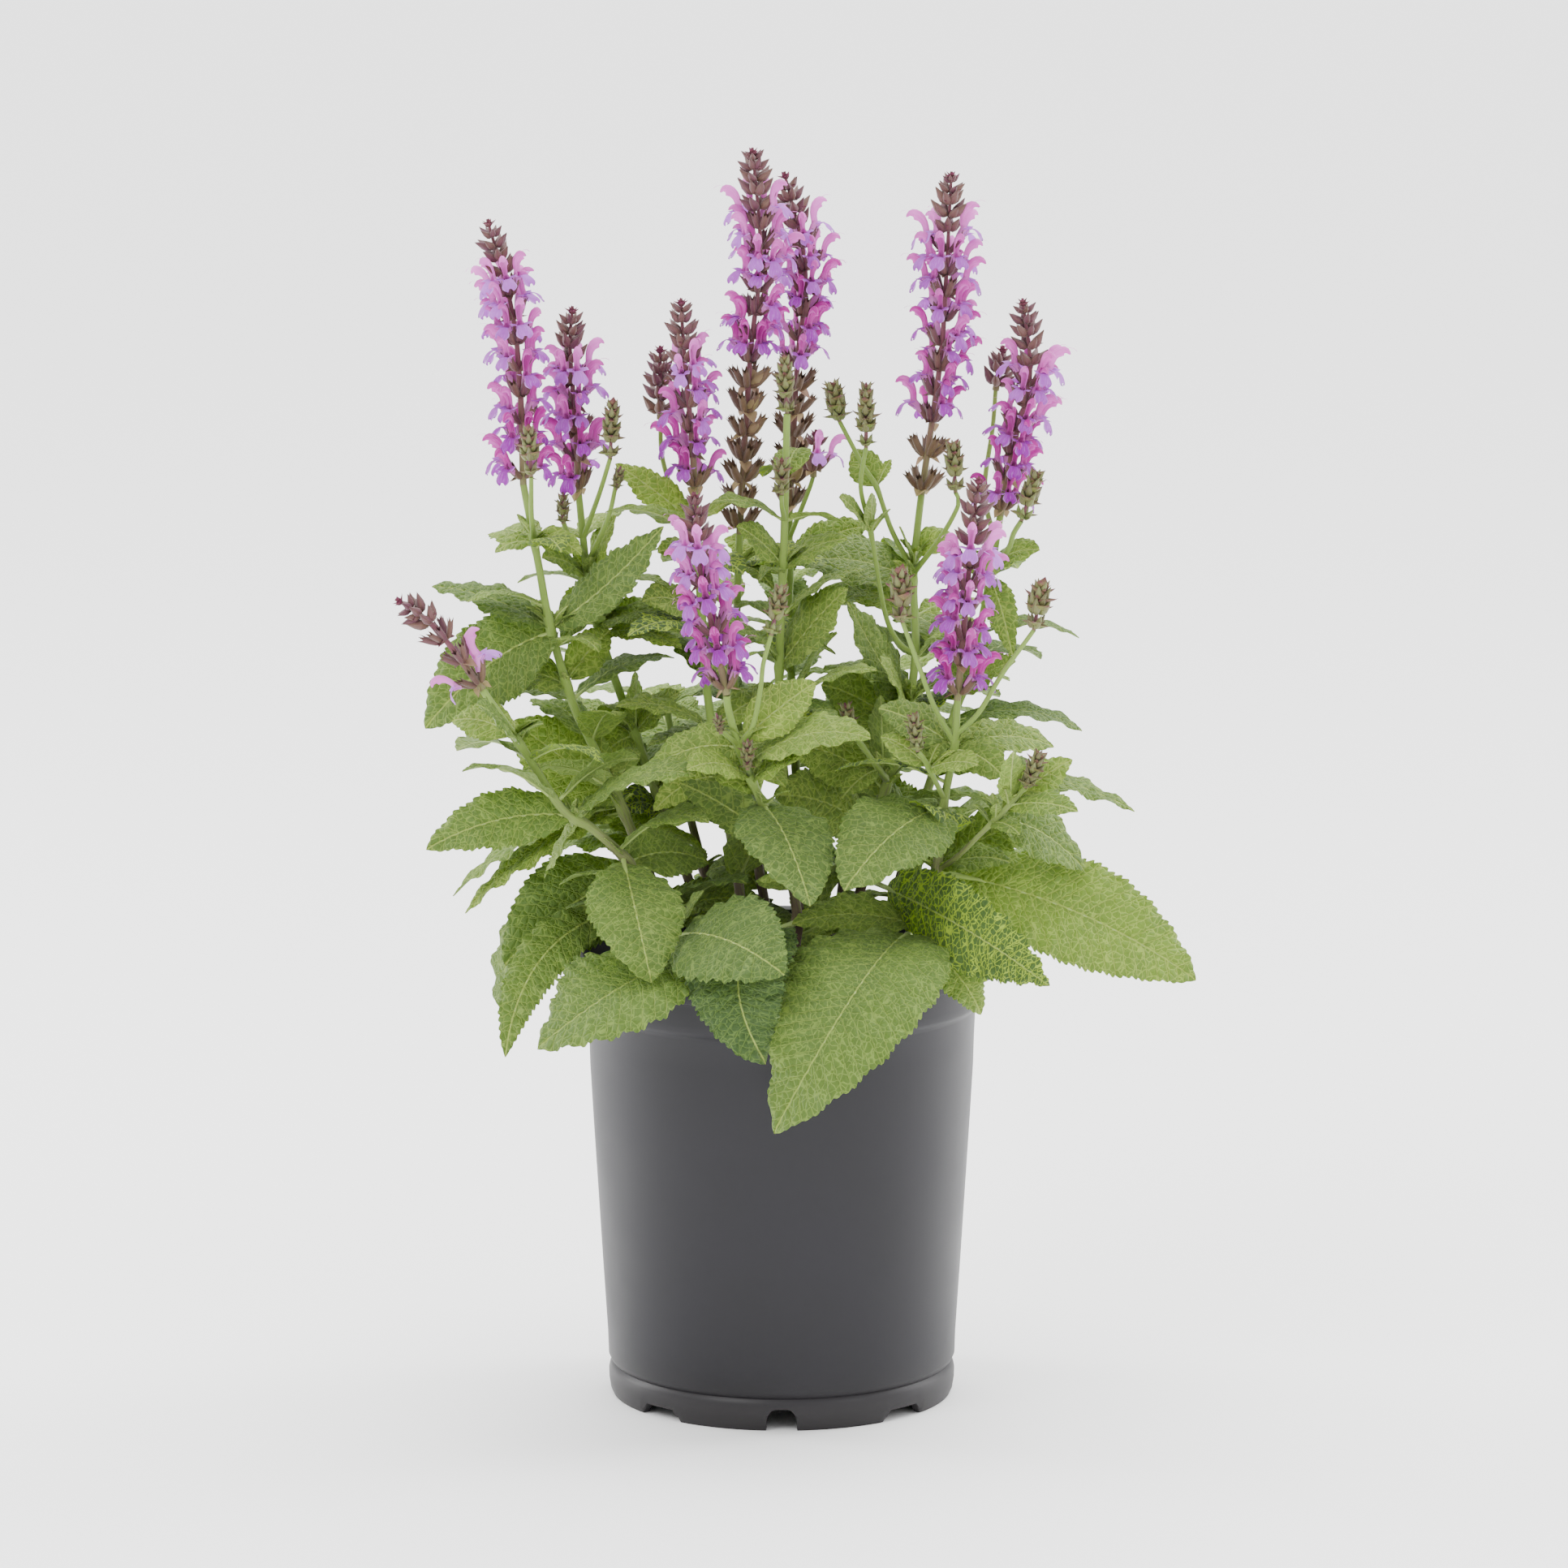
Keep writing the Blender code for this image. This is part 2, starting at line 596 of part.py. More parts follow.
def blade_mesh(leaf, count, thickness):
    """Points and triangles of a leaf's closed solid, split alike on both faces."""
    stations = blade_stations(leaf, count)
    points = []
    for i, t in enumerate(stations):
        tooth = TOOTH if i % 2 == 0 else -TOOTH
        thick = PETIOLE_THICKNESS if i < 2 else thickness
        ways = (0,) if t == 1.0 else (-1, 1) if i < 2 else (-1, 0, 1)
        for x in ways:
            place, normal = leaf.surface(t, x, tooth)
            points.append(place + normal * thick / 2)
            points.append(place - normal * thick / 2)
    faces = [(0, 1, 3), (0, 3, 2)]
    faces += [(0, 2, 6), (0, 6, 4), (1, 7, 3), (1, 5, 7), (0, 4, 5), (0, 5, 1), (2, 7, 6), (2, 3, 7)]
    faces += [(4, 6, 10), (4, 10, 8), (6, 12, 10), (5, 11, 7), (5, 9, 11), (7, 11, 13)]
    faces += [(4, 8, 9), (4, 9, 5), (6, 13, 12), (6, 7, 13)]
    for i in range(count - 1):
        a = 8 + 6 * i
        b = a + 6
        faces += [(a, a + 2, b + 2), (a, b + 2, b), (a + 2, a + 4, b + 4), (a + 2, b + 4, b + 2)]
        faces += [(a + 1, b + 3, a + 3), (a + 1, b + 1, b + 3), (a + 3, b + 5, a + 5), (a + 3, b + 3, b + 5)]
        faces += [(a, b, b + 1), (a, b + 1, a + 1), (a + 4, b + 5, b + 4), (a + 4, a + 5, b + 5)]
    a = 8 + 6 * (count - 1)
    top = a + 6
    low = top + 1
    faces += [(a, a + 2, top), (a + 2, a + 4, top), (a + 1, low, a + 3), (a + 3, low, a + 5)]
    faces += [(a, top, low), (a, low, a + 1), (a + 4, low, top), (a + 4, a + 5, low)]
    return points, faces


def blade_skin(leaf, thickness, start):
    """Points and faces of a plain closed blade from start to the tip, to test for crossings."""
    count = 6
    rings = []
    for k in range(count + 1):
        t = start + (1 - start) * k / count
        ring = []
        for x, way in ((-1, 1), (0, 1), (1, 1), (1, -1), (0, -1), (-1, -1)):
            place, normal = leaf.surface(t, x, TOOTH)
            ring.append(place + normal * way * thickness / 2)
        rings.append(ring)
    return rings_mesh(rings)


class Obstacle:
    """Something that leaves bend clear of, with the box that it fills."""

    def __init__(self, node, points, faces):
        self.node = node
        self.tree = BVHTree.FromPolygons(points, faces)
        self.low = [min(p[k] for p in points) for k in range(3)]
        self.high = [max(p[k] for p in points) for k in range(3)]

    def meets(self, other):
        """Whether two obstacles cross each other."""
        for k in range(3):
            if self.low[k] > other.high[k] or other.low[k] > self.high[k]:
                return False
        return bool(self.tree.overlap(other.tree))


def leaf_obstacles(leaf):
    """A leaf as it meets other shoots, and without its root, as it meets its own."""
    whole = Obstacle(leaf.node, *blade_mesh(leaf, blade_count(leaf), 2 * CLEARANCE + BLADE_THICKNESS))
    start = min(0.5, max(leaf.petiole, 9.0 / leaf.length()))
    outer = Obstacle(leaf.node, *blade_skin(leaf, 2 * CLEARANCE, start))
    return whole, outer


def is_clear(leaf, solids, placed):
    """Whether a leaf crosses no solid, and no leaf placed before it."""
    whole, outer = leaf_obstacles(leaf)
    low_edge = min(p.z for p in (leaf.middle, leaf.tip))
    if low_edge < SOIL_TOP + 2 and math.hypot(leaf.tip.x, leaf.tip.y) < RIM_RADIUS:
        return False
    for solid in solids:
        mine = outer if solid.node == leaf.node else whole
        if mine.meets(solid):
            return False
    for other_whole, other_outer in placed:
        if other_whole.node == leaf.node:
            if outer.meets(other_outer):
                return False
        elif whole.meets(other_whole):
            return False
    return True


def moved(leaf, push, lift, roll, size):
    """The leaf with its tip pushed along the sight line, lifted, rolled and made smaller."""
    shift = towards_viewer() * push + Vector((0, 0, lift))
    reach = leaf.tip - leaf.root
    tip = leaf.root + reach * size + shift
    middle = leaf.root + (leaf.middle - leaf.root) * size + shift * 0.5
    changed = Leaf(leaf.node, leaf.root, middle, tip, leaf.width * size, leaf.turn + roll, leaf.petiole, leaf.seed)
    return changed


PUSHES = (0, 7, -7, 14, -14, 22, -22, 32, -32)
LIFTS = (0, 4, -4, 9, -9, 15)
ROLLS = (0, 14, -14, 30, -30)
SIZES = (1.0, 0.88, 0.76)


def bends():
    """Every way to move a leaf, the slightest first."""
    ways = []
    for size in SIZES:
        for push in PUSHES:
            for lift in LIFTS:
                for roll in ROLLS:
                    cost = abs(push) / 7 + abs(lift) / 3 + abs(roll) / 12 + (1 - size) * 22
                    ways.append((cost, push, lift, roll, size))
    ways.sort(key=lambda way: way[0])
    return ways


def spike_line(spike):
    return smooth_line([seen(*place) for place in spike["axis"]], 6.0)


def spike_hull(name, spike):
    """A fat tube that a spike's flowers stay inside."""
    line = spike_line(spike)
    radii = []
    for point in line:
        _, v = plane_place(point)
        radius = 7.5
        if spike["bloom"] and spike["bloom"][0] - 5 < v < spike["bloom"][1] + 3:
            radius = FLOWER_REACH
        radii.append(radius)
    radii[0] = 5.0
    return Obstacle("spike_" + name, *rings_mesh(tube_rings(line, radii, 6)))


def pot_hull():
    """The pot's outer shape and the soil's top, which leaves bend clear of."""
    rings = []
    for radius, height in ((FOOT_RADIUS, 0), (SHOULDER_RADIUS, 120), (NECK_RADIUS, 166), (RIM_RADIUS, 168),
                           (RIM_RADIUS, POT_HEIGHT), (NECK_RADIUS, POT_HEIGHT), (NECK_RADIUS - 2, SOIL_TOP + 1)):
        rings.append([Vector((radius * math.cos(math.tau * k / 32), radius * math.sin(math.tau * k / 32), height))
                      for k in range(32)])
    return Obstacle("pot", *rings_mesh(rings))


def grow():
    """The whole plant: tubes and leaves of each shoot, each leaf bent clear of the rest."""
    draw = random.Random(SEED)
    tubes = {name: make_tubes(shoot) for name, shoot in SHOOTS.items()}
    solids = [pot_hull()]
    for name, parts in tubes.items():
        for tube in parts:
            radii = [tube.radius(i) + CLEARANCE for i in range(len(tube.line))]
            solids.append(Obstacle(name, *rings_mesh(tube_rings(tube.line, radii, 4))))
    solids += [spike_hull(name, spike) for name, spike in SPIKES.items()]
    for name, (base, top, radius) in BUD_SPIKES.items():
        foot = seen(*base)
        tip = seen(*top)
        line = [foot, foot.lerp(tip, 0.35), tip]
        solids.append(Obstacle("bud_" + name, *rings_mesh(tube_rings(line, [1.5, radius + 1, radius], 6))))
    wanted = []
    for name, shoot in SHOOTS.items():
        for row in shoot["leaves"]:
            wanted.append((visible_leaf(name, row, tubes[name], draw.randrange(10 ** 6)), True))
    for name, shoot in SHOOTS.items():
        for leaf in fill_leaves(name, shoot, tubes[name], draw):
            wanted.append((leaf, False))
    wanted.sort(key=lambda pair: (not pair[1], -pair[0].length()))
    ways = bends()
    leaves = []
    placed = []
    for leaf, _ in wanted:
        for _, push, lift, roll, size in ways:
            trial = moved(leaf, push, lift, roll, size)
            if is_clear(trial, solids, placed):
                leaves.append(trial)
                placed.append(leaf_obstacles(trial))
                break
    return tubes, leaves


def new_object(name, points, faces):
    """An object from points in millimetres, its faces turned outward."""
    mesh = bpy.data.meshes.new(name)
    mesh.from_pydata([p * MM for p in points], [], faces)
    work = bmesh.new()
    work.from_mesh(mesh)
    bmesh.ops.recalc_face_normals(work, faces=work.faces)
    work.to_mesh(mesh)
    work.free()
    thing = bpy.data.objects.new(name, mesh)
    bpy.context.scene.collection.objects.link(thing)
    return thing


def apply_modifiers(thing):
    """Keep the evaluated mesh in place of the modifiers."""
    view = bpy.context.evaluated_depsgraph_get()
    mesh = bpy.data.meshes.new_from_object(thing.evaluated_get(view))
    old = thing.data
    thing.modifiers.clear()
    thing.data = mesh
    mesh.name = thing.name
    bpy.data.meshes.remove(old)


def fuse(base, others, solver="EXACT"):
    """One Boolean union of the base with all the others, which are then removed."""
    if others:
        group = bpy.data.collections.new(base.name + "_parts")
        bpy.context.scene.collection.children.link(group)
        for other in others:
            group.objects.link(other)
            bpy.context.scene.collection.objects.unlink(other)
        union = base.modifiers.new("union", "BOOLEAN")
        union.operation = "UNION"
        union.operand_type = "COLLECTION"
        union.collection = group
        union.solver = solver
        apply_modifiers(base)
        for other in others:
            bpy.data.objects.remove(other)
        bpy.data.collections.remove(group)
    return base


def cut(base, cutters):
    """Cut every cutter out of the base, and remove the cutters."""
    for cutter in cutters:
        cutter.hide_render = True
        cutter.display_type = "WIRE"
        difference = base.modifiers.new("cut", "BOOLEAN")
        difference.operation = "DIFFERENCE"
        difference.object = cutter
    bpy.context.view_layer.update()
    apply_modifiers(base)
    for cutter in cutters:
        bpy.data.objects.remove(cutter)
    return base


def paint(thing, name, colour, roughness):
    """Give an object its own Principled material."""
    finish = bpy.data.materials.new(name)
    finish.use_nodes = True
    shader = finish.node_tree.nodes["Principled BSDF"]
    shader.inputs["Base Color"].default_value = (*colour, 1.0)
    shader.inputs["Roughness"].default_value = roughness
    shader.inputs["Metallic"].default_value = 0.0
    thing.data.materials.clear()
    thing.data.materials.append(finish)


def make_pot():
    """The nursery pot, with its floor, drain holes, foot ring and turned-down rim."""
    outer = [
        (FOOT_RADIUS, 0.0),
        (FOOT_RADIUS, SEAM_HEIGHT - 0.6),
        (BASE_RADIUS - 0.6, SEAM_HEIGHT + 1.4),
        (SHOULDER_RADIUS, SHOULDER_HEIGHT),
        (LEDGE_RADIUS, LEDGE_HEIGHT - 2),
        (NECK_RADIUS - 0.6, LEDGE_HEIGHT),
        (NECK_RADIUS, POT_HEIGHT - WALL),
        (RIM_RADIUS - WALL, POT_HEIGHT - WALL),
        (RIM_RADIUS - WALL, POT_HEIGHT - RIM_BAND),
        (RIM_RADIUS, POT_HEIGHT - RIM_BAND),
        (RIM_RADIUS, POT_HEIGHT - 0.8),
        (RIM_RADIUS - 0.8, POT_HEIGHT),
    ]
    inner = [
        (NECK_RADIUS - WALL, POT_HEIGHT),
        (NECK_RADIUS - WALL - 0.3, LEDGE_HEIGHT + 1.6),
        (LEDGE_RADIUS - WALL, LEDGE_HEIGHT - 1.2),
        (BASE_RADIUS - WALL - 1.2, FLOOR_HEIGHT + WALL),
    ]
    under = [(FOOT_RADIUS - 3.4, FLOOR_HEIGHT), (FOOT_RADIUS - 2.6, 0.0)]
    profile = outer + inner + under
    count = len(profile)
    points = []
    faces = []
    for k in range(POT_SIDES):
        points += [turned_point(k, POT_SIDES, r, z) for r, z in profile]
    centre = len(points)
    points += [Vector((0, 0, FLOOR_HEIGHT + WALL)), Vector((0, 0, FLOOR_HEIGHT))]
    floor_row = len(outer) + len(inner) - 1
    for k in range(POT_SIDES):
        a = k * count
        b = (k + 1) % POT_SIDES * count
        for i in range(count):
            j = (i + 1) % count
            if i != floor_row:
                faces.append((a + i, b + i, b + j, a + j))
        faces.append((a + floor_row, b + floor_row, centre))
        faces.append((b + floor_row + 1, a + floor_row + 1, centre + 1))
    pot = new_object("nursery_pot", points, faces)
    cut(pot, foot_cutters() + drain_cutters())
    pot.data.shade_smooth()
    pot.data.set_sharp_from_angle(angle=math.radians(35))
    paint(pot, "pot_plastic", (0.064, 0.062, 0.072), 0.45)
    return pot


def turned_point(k, sides, radius, height):
    """Point k of a turned ring."""
    angle = math.tau * k / sides
    return Vector((radius * math.cos(angle), radius * math.sin(angle), height))


def foot_cutters():
    """Four round-topped notches and four low gaps, which leave eight feet."""
    cutters = []
    for k in range(4):
        angle = math.pi / 2 * k
        outline = []
        for i in range(5):
            bow = math.pi * i / 4
            outline.append((NOTCH_WIDTH / 2 * math.cos(bow), NOTCH_HEIGHT - 4 + 4 * math.sin(bow)))
        outline += [(-NOTCH_WIDTH / 2 - 0.6, -2), (NOTCH_WIDTH / 2 + 0.6, -2)]
        cutters.append(radial_prism("notch", outline, angle))
        half = math.tan(GAP_HALF_ANGLE) * FOOT_RADIUS
        outline = [(half, GAP_HEIGHT), (-half, GAP_HEIGHT), (-half - 6, -1), (half + 6, -1)]
        cutters.append(radial_prism("gap", outline, angle + math.pi / 4))
    return cutters


def radial_prism(name, outline, angle):
    """An outline of (sideways, up) pushed outward through the foot ring."""
    out = Vector((math.cos(angle), math.sin(angle), 0))
    side = Vector((-math.sin(angle), math.cos(angle), 0))
    rings = []
    for reach in (FOOT_RADIUS - 12, FOOT_RADIUS + 8):
        rings.append([out * reach + side * a + Vector((0, 0, b)) for a, b in outline])
    return new_object(name, *rings_mesh(rings))


def drain_cutters():
    """Round drain holes in the floor."""
    cutters = []
    for k in range(DRAIN_COUNT):
        angle = math.tau * (k + 0.5) / DRAIN_COUNT
        centre = Vector((DRAIN_CIRCLE * math.cos(angle), DRAIN_CIRCLE * math.sin(angle), 0))
        line = [centre + Vector((0, 0, FLOOR_HEIGHT - 3)), centre + Vector((0, 0, FLOOR_HEIGHT + WALL + 3))]
        cutters.append(new_object("drain", *rings_mesh(tube_rings(line, [DRAIN_RADIUS] * 2, 8))))
    return cutters


def make_soil(tubes):
    """The root ball, with a plain hole for each stem."""
    draw = random.Random(SEED)
    play = WALL + SEAT_GAP
    sides = POT_SIDES // 2
    flat = math.cos(math.pi / POT_SIDES)
    outline = [
        (BASE_RADIUS - 1.2 - play, FLOOR_HEIGHT + WALL + SEAT_GAP),
        (LEDGE_RADIUS - play, LEDGE_HEIGHT - 1.2),
        (NECK_RADIUS - 0.3 - play, LEDGE_HEIGHT + 1.7),
        (NECK_RADIUS - 0.3 - play, SOIL_TOP - 2.5),
    ]
    rings = [[turned_point(k, sides, r * flat, z) for k in range(sides)] for r, z in outline]
    for share in (0.84, 0.56, 0.2):
        ring = []
        for k in range(sides):
            height = SOIL_TOP + draw.uniform(-SOIL_RELIEF, SOIL_RELIEF)
            ring.append(turned_point(k, sides, NECK_RADIUS * share, height))
        rings.append(ring)
    soil = new_object("potting_soil", *rings_mesh(rings))
    cutters = []
    for parts in tubes.values():
        foot = parts[0].line[0]
        line = [Vector((foot.x, foot.y, SOIL_TOP - HOLE_DEPTH)), Vector((foot.x, foot.y, SOIL_TOP + 6))]
        hole = parts[0].thick + HOLE_PLAY
        cutters.append(new_object("hole", *rings_mesh(tube_rings(line, [hole] * 2, 4))))
    cut(soil, cutters)
    paint(soil, "potting_soil", (0.035, 0.022, 0.015), 0.95)
    return soil


class Whorls:
    """A spike's solid: a four-sided axis with bands, whose faces are raised into what grows there."""

    def __init__(self, line, radius):
        self.line = line
        self.points = []
        self.faces = []
        self.turn = 0.0
        self.top = self.ring(0.0, radius)
        self.faces.append((0, 1, 2, 3))

    def length(self):
        return sum((b - a).length for a, b in zip(self.line, self.line[1:]))

    def place(self, walked):
        """The point and direction of the axis at a distance from its base."""
        i = 0
        while i < len(self.line) - 2 and walked > (self.line[i + 1] - self.line[i]).length:
            walked -= (self.line[i + 1] - self.line[i]).length
            i += 1
        way = (self.line[i + 1] - self.line[i]).normalized()
        return self.line[i] + way * walked, way

    def ring(self, walked, radius):
        """Four points round the axis. It returns the index of the first."""
        centre, way = self.place(walked)
        side = way.cross(Vector((0.3, 1.0, 0.1))).normalized()
        first = len(self.points)
        for k in range(4):
            self.points.append(centre + Quaternion(way, self.turn + math.pi / 2 * k) @ side * radius)
        return first

    def walls(self, lower, upper):
        """The four faces between two rings."""
        return [(lower + k, lower + (k + 1) % 4, upper + (k + 1) % 4, upper + k) for k in range(4)]

    def band(self, walked, height, radius, raise_face, *form):
        """Two rings at a whorl, with each face between them raised."""
        lower = self.ring(walked, radius)
        self.faces += self.walls(self.top, lower)
        self.top = self.ring(walked + height, radius)
        centre, way = self.place(walked + height / 2)
        for corners in self.walls(lower, self.top):
            middle = sum((self.points[c] for c in corners), Vector()) / 4
            out = (middle - centre).normalized()
            raise_face(self, corners, middle, out, way, *form)
        self.turn += math.pi / 4

    def close(self, walked):
        """The pointed end of the axis."""
        centre, _ = self.place(walked)
        self.points.append(centre)
        last = len(self.points) - 1
        self.faces += [(self.top + k, self.top + (k + 1) % 4, last) for k in range(4)]


def raise_scale(body, corners, middle, out, way, reach, rise):
    """A pointed scale or calyx."""
    tip = len(body.points)
    body.points.append(middle + out * reach + way * rise)
    body.faces += [(corners[k], corners[(k + 1) % 4], tip) for k in range(4)]


def raise_flower(body, corners, middle, out, way):
    """A flower: a hooded upper lip over a broad lower lip, with the mouth between them."""
    a, b, c, d = corners
    side = body.points[b] - body.points[a]
    side = (side - way * side.dot(way)).normalized()
    first = len(body.points)
    for o, w, h in FLOWER_FORM:
        body.points.append(middle + out * o + side * w + way * h)
    ridge, hood, corner_a, corner_b, lip_a, lip_b, mouth = range(first, first + 7)
    body.faces += [(d, c, ridge), (c, hood, ridge), (hood, d, ridge), (a, lip_b, b), (a, lip_a, lip_b)]
    body.faces += [(a, d, corner_a), (d, hood, corner_a), (a, corner_a, lip_a)]
    body.faces += [(b, corner_b, c), (c, corner_b, hood), (b, lip_b, corner_b)]
    body.faces += [(hood, mouth, corner_a), (corner_a, mouth, lip_a), (lip_a, mouth, lip_b)]
    body.faces += [(lip_b, mouth, corner_b), (corner_b, mouth, hood)]


def young_spike(name, base, top, radius):
    """A young spike: whorls of pointed scales that close towards the tip."""
    body = Whorls([base, top], SPIKE_FOOT)
    length = body.length()
    count = max(2, round(length / 5.2))
    for i in range(count):
        share = i / count
        width = radius * (0.72 - 0.3 * share)
        reach = radius * (0.55 - 0.2 * share)
        body.band(length * (i + 0.2) / count, length / count * 0.5, width, raise_scale, reach, length / count * 0.6)
    body.close(length)
    return new_object(name, body.points, body.faces)


def make_shoot(name, tubes, leaves, shoot):
    """A leafy stem: its stem, stalks, leaves and smallest buds in one solid."""
    main = tubes[0]
    radii = [main.radius(i) for i in range(len(main.line))]
    stem = new_object("leafy_stem_" + name, *rings_mesh(tube_rings(main.line, radii, 4)))
    others = []
    for tube in tubes[1:]:
        radii = [tube.radius(i) for i in range(len(tube.line))]
        others.append(new_object("stalk", *rings_mesh(tube_rings(tube.line, radii, 4, 0.5))))
    for leaf in leaves:
        others.append(new_object("leaf", *blade_mesh(leaf, blade_count(leaf), BLADE_THICKNESS)))
    for base, top, radius in shoot.get("buds", []):
        others.append(young_spike("bud", seen(*base), seen(*top), radius))
    fuse(stem, others)
    paint(stem, "leaf_green_" + name, (0.16, 0.28, 0.09), 0.6)
    return stem


def make_spike(name, spike):
    """A flowering spike: faded whorls, then open flowers, then buds."""
    line = spike_line(spike)
    line[0] = line[0] + (line[1] - line[0]).normalized() * SPIKE_GAP
    body = Whorls(line, SPIKE_FOOT)
    length = body.length()
    bloom = spike["bloom"]
    walked = 4.0
    while walked < length - 4.0:
        _, v = plane_place(body.place(walked)[0])
        if bloom and v < bloom[0]:
            body.band(walked, 2.4, 1.9, raise_scale, 6.6, 3.4)
            walked += WHORL_STEP
        elif bloom and v <= bloom[1]:
            body.band(walked, 2.4, 1.9, raise_flower)
            walked += WHORL_STEP
        else:
            share = min(1.0, (length - walked) / 30)
            body.band(walked, 2.4, 1.3 + 1.5 * share, raise_scale, 1.6 + 1.6 * share, 3.2)
            walked += BUD_STEP
    body.close(length)
    core = new_object("flower_spike_" + name, body.points, body.faces)
    colour = (0.45, 0.13, 0.42) if bloom else (0.13, 0.08, 0.08)
    paint(core, "flower_pink_" + name, colour, 0.6)
    return core


def make_bud_spike(name, base, top, radius):
    """A young spike still in bud, on the end of its stalk."""
    foot = seen(*base)
    tip = seen(*top)
    foot = foot + (tip - foot).normalized() * SPIKE_GAP
    core = young_spike("bud_spike_" + name, foot, tip, radius)
    paint(core, "bud_brown_" + name, (0.16, 0.13, 0.09), 0.7)
    return core


def centre_plan():
    """Move everything sideways until the origin is under the middle of the whole box."""
    places = [v.co for thing in bpy.data.objects for v in thing.data.vertices]
    middle_x = (min(p.x for p in places) + max(p.x for p in places)) / 2
    middle_y = (min(p.y for p in places) + max(p.y for p in places)) / 2
    for thing in bpy.data.objects:
        for v in thing.data.vertices:
            v.co.x -= middle_x
            v.co.y -= middle_y


def main():
    for thing in list(bpy.data.objects):
        bpy.data.objects.remove(thing)
    tubes, leaves = grow()
    make_pot()
    make_soil(tubes)
    for name, shoot in SHOOTS.items():
        own = [leaf for leaf in leaves if leaf.node == name]
        make_shoot(name, tubes[name], own, shoot)
    for name, spike in SPIKES.items():
        make_spike(name, spike)
    for name, (base, top, radius) in BUD_SPIKES.items():
        make_bud_spike(name, base, top, radius)
    centre_plan()


main()
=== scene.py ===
"""A perennial salvia in its nursery pot, dressed for a studio picture.

It repeats the stems, leaves and spikes of the CAD model, and raises fine leaves, flowers and
buds on them. Lengths are in millimetres with the pot's axis on the Z axis until a mesh is
made. A mesh is in metres, and moved to where the CAD pot stands.

A place on the plant is written (u, v, depth). u and v are millimetres right and up on the
upright plane through the pot's axis, as a viewer sees them from VIEW_FAR away and VIEW_TILT
above level. depth is how far the place lies in front of that plane.
"""

import math
import random

import bpy
import numpy as np
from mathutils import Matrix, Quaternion, Vector
from mathutils import noise
from mathutils.bvhtree import BVHTree


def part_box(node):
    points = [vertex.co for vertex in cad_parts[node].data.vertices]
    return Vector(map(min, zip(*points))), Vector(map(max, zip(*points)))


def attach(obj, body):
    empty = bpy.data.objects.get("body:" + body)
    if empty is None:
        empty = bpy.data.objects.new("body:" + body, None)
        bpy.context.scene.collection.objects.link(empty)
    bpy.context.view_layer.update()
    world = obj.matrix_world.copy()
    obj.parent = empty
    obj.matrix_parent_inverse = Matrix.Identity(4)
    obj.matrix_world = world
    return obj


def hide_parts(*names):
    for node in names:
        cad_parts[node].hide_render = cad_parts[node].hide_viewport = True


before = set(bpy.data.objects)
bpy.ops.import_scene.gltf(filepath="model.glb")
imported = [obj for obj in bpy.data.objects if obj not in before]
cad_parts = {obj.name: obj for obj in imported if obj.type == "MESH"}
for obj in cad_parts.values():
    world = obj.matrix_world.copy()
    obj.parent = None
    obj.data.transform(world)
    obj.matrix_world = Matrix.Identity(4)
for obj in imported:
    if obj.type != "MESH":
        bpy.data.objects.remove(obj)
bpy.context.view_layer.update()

MM = 0.001

# Viewer
VIEW_FAR = 3000.0
VIEW_TILT = math.radians(10.3)
VIEW_AIM = Vector((0.9, 0.0, 237.5))
TO_VIEWER = Vector((0.0, -math.cos(VIEW_TILT), math.sin(VIEW_TILT)))
EYE = VIEW_AIM + VIEW_FAR * TO_VIEWER
LENS = 180.3

# Pot
POT_HEIGHT = 173.6
RIM_RADIUS = 85.5
RIM_BAND = 6.0
NECK_RADIUS = 77.5
SHOULDER_HEIGHT = 129.0
LEDGE_HEIGHT = 154.5
LEDGE_RADIUS = 74.4
SHOULDER_RADIUS = 73.6
BASE_RADIUS = 67.1
SEAM_HEIGHT = 12.3
FOOT_RADIUS = 65.3
WALL = 1.4
FLOOR_HEIGHT = 9.6
NOTCH_WIDTH = 12.0
NOTCH_HEIGHT = 8.6
GAP_HEIGHT = 4.5
GAP_HALF_ANGLE = math.radians(6.0)
GAP_SLANT = math.radians(3.2)

# Soil, the hole in it for each stem, and the bits of bark on it as rings of (end, girth)
SOIL_TOP = 165.0
HOLE_DEPTH = 14.0
HOLE_ROOM = 1.5
CHIP_COUNT = 300
CHIP_SIDES = 6
CHIP_RINGS = ((-1.0, 0.05), (-0.75, 0.8), (0.1, 1.0), (0.8, 0.75), (1.0, 0.05))

# Stems: the space between points, the radii at both ends, and the upright foot
STEM_STEP = 20.0
STEM_RADII = (2.3, 1.45)
STALK_RADIUS = 0.9
STALK_SWELL = 1.25
UPRIGHT_FOOT = 3.0

# Leaves. A petiole is given as a share of the leaf's length.
BLADE_THICKNESS = 0.72
PETIOLE_HALF_WIDTH = 0.9
PETIOLE_THICKNESS = 1.5
SHORT_PETIOLE = 0.1
FILL_PETIOLE = 0.12
LONG_PETIOLE = 0.16
WIDEST_SHARE = 0.64
FILL_WIDTH = 0.46
FOLD = 0.2
CROWN = 0.28
TOOTH = 0.05
RIPPLE = 0.035
RIPPLE_TURN = 9.0
RIPPLE_SKEW = 1.3

# How far leaves keep clear of a spike's flowers, its buds and its foot
FLOWER_REACH = 13.0
BUD_REACH = 7.5
SPIKE_FOOT = 5.0


def seen(u, v, depth):
    """The point that a viewer sees at (u, v), depth in front of the upright plane."""
    share = (EYE.y + depth) / EYE.y
    return EYE + (Vector((u, 0.0, v)) - EYE) * share


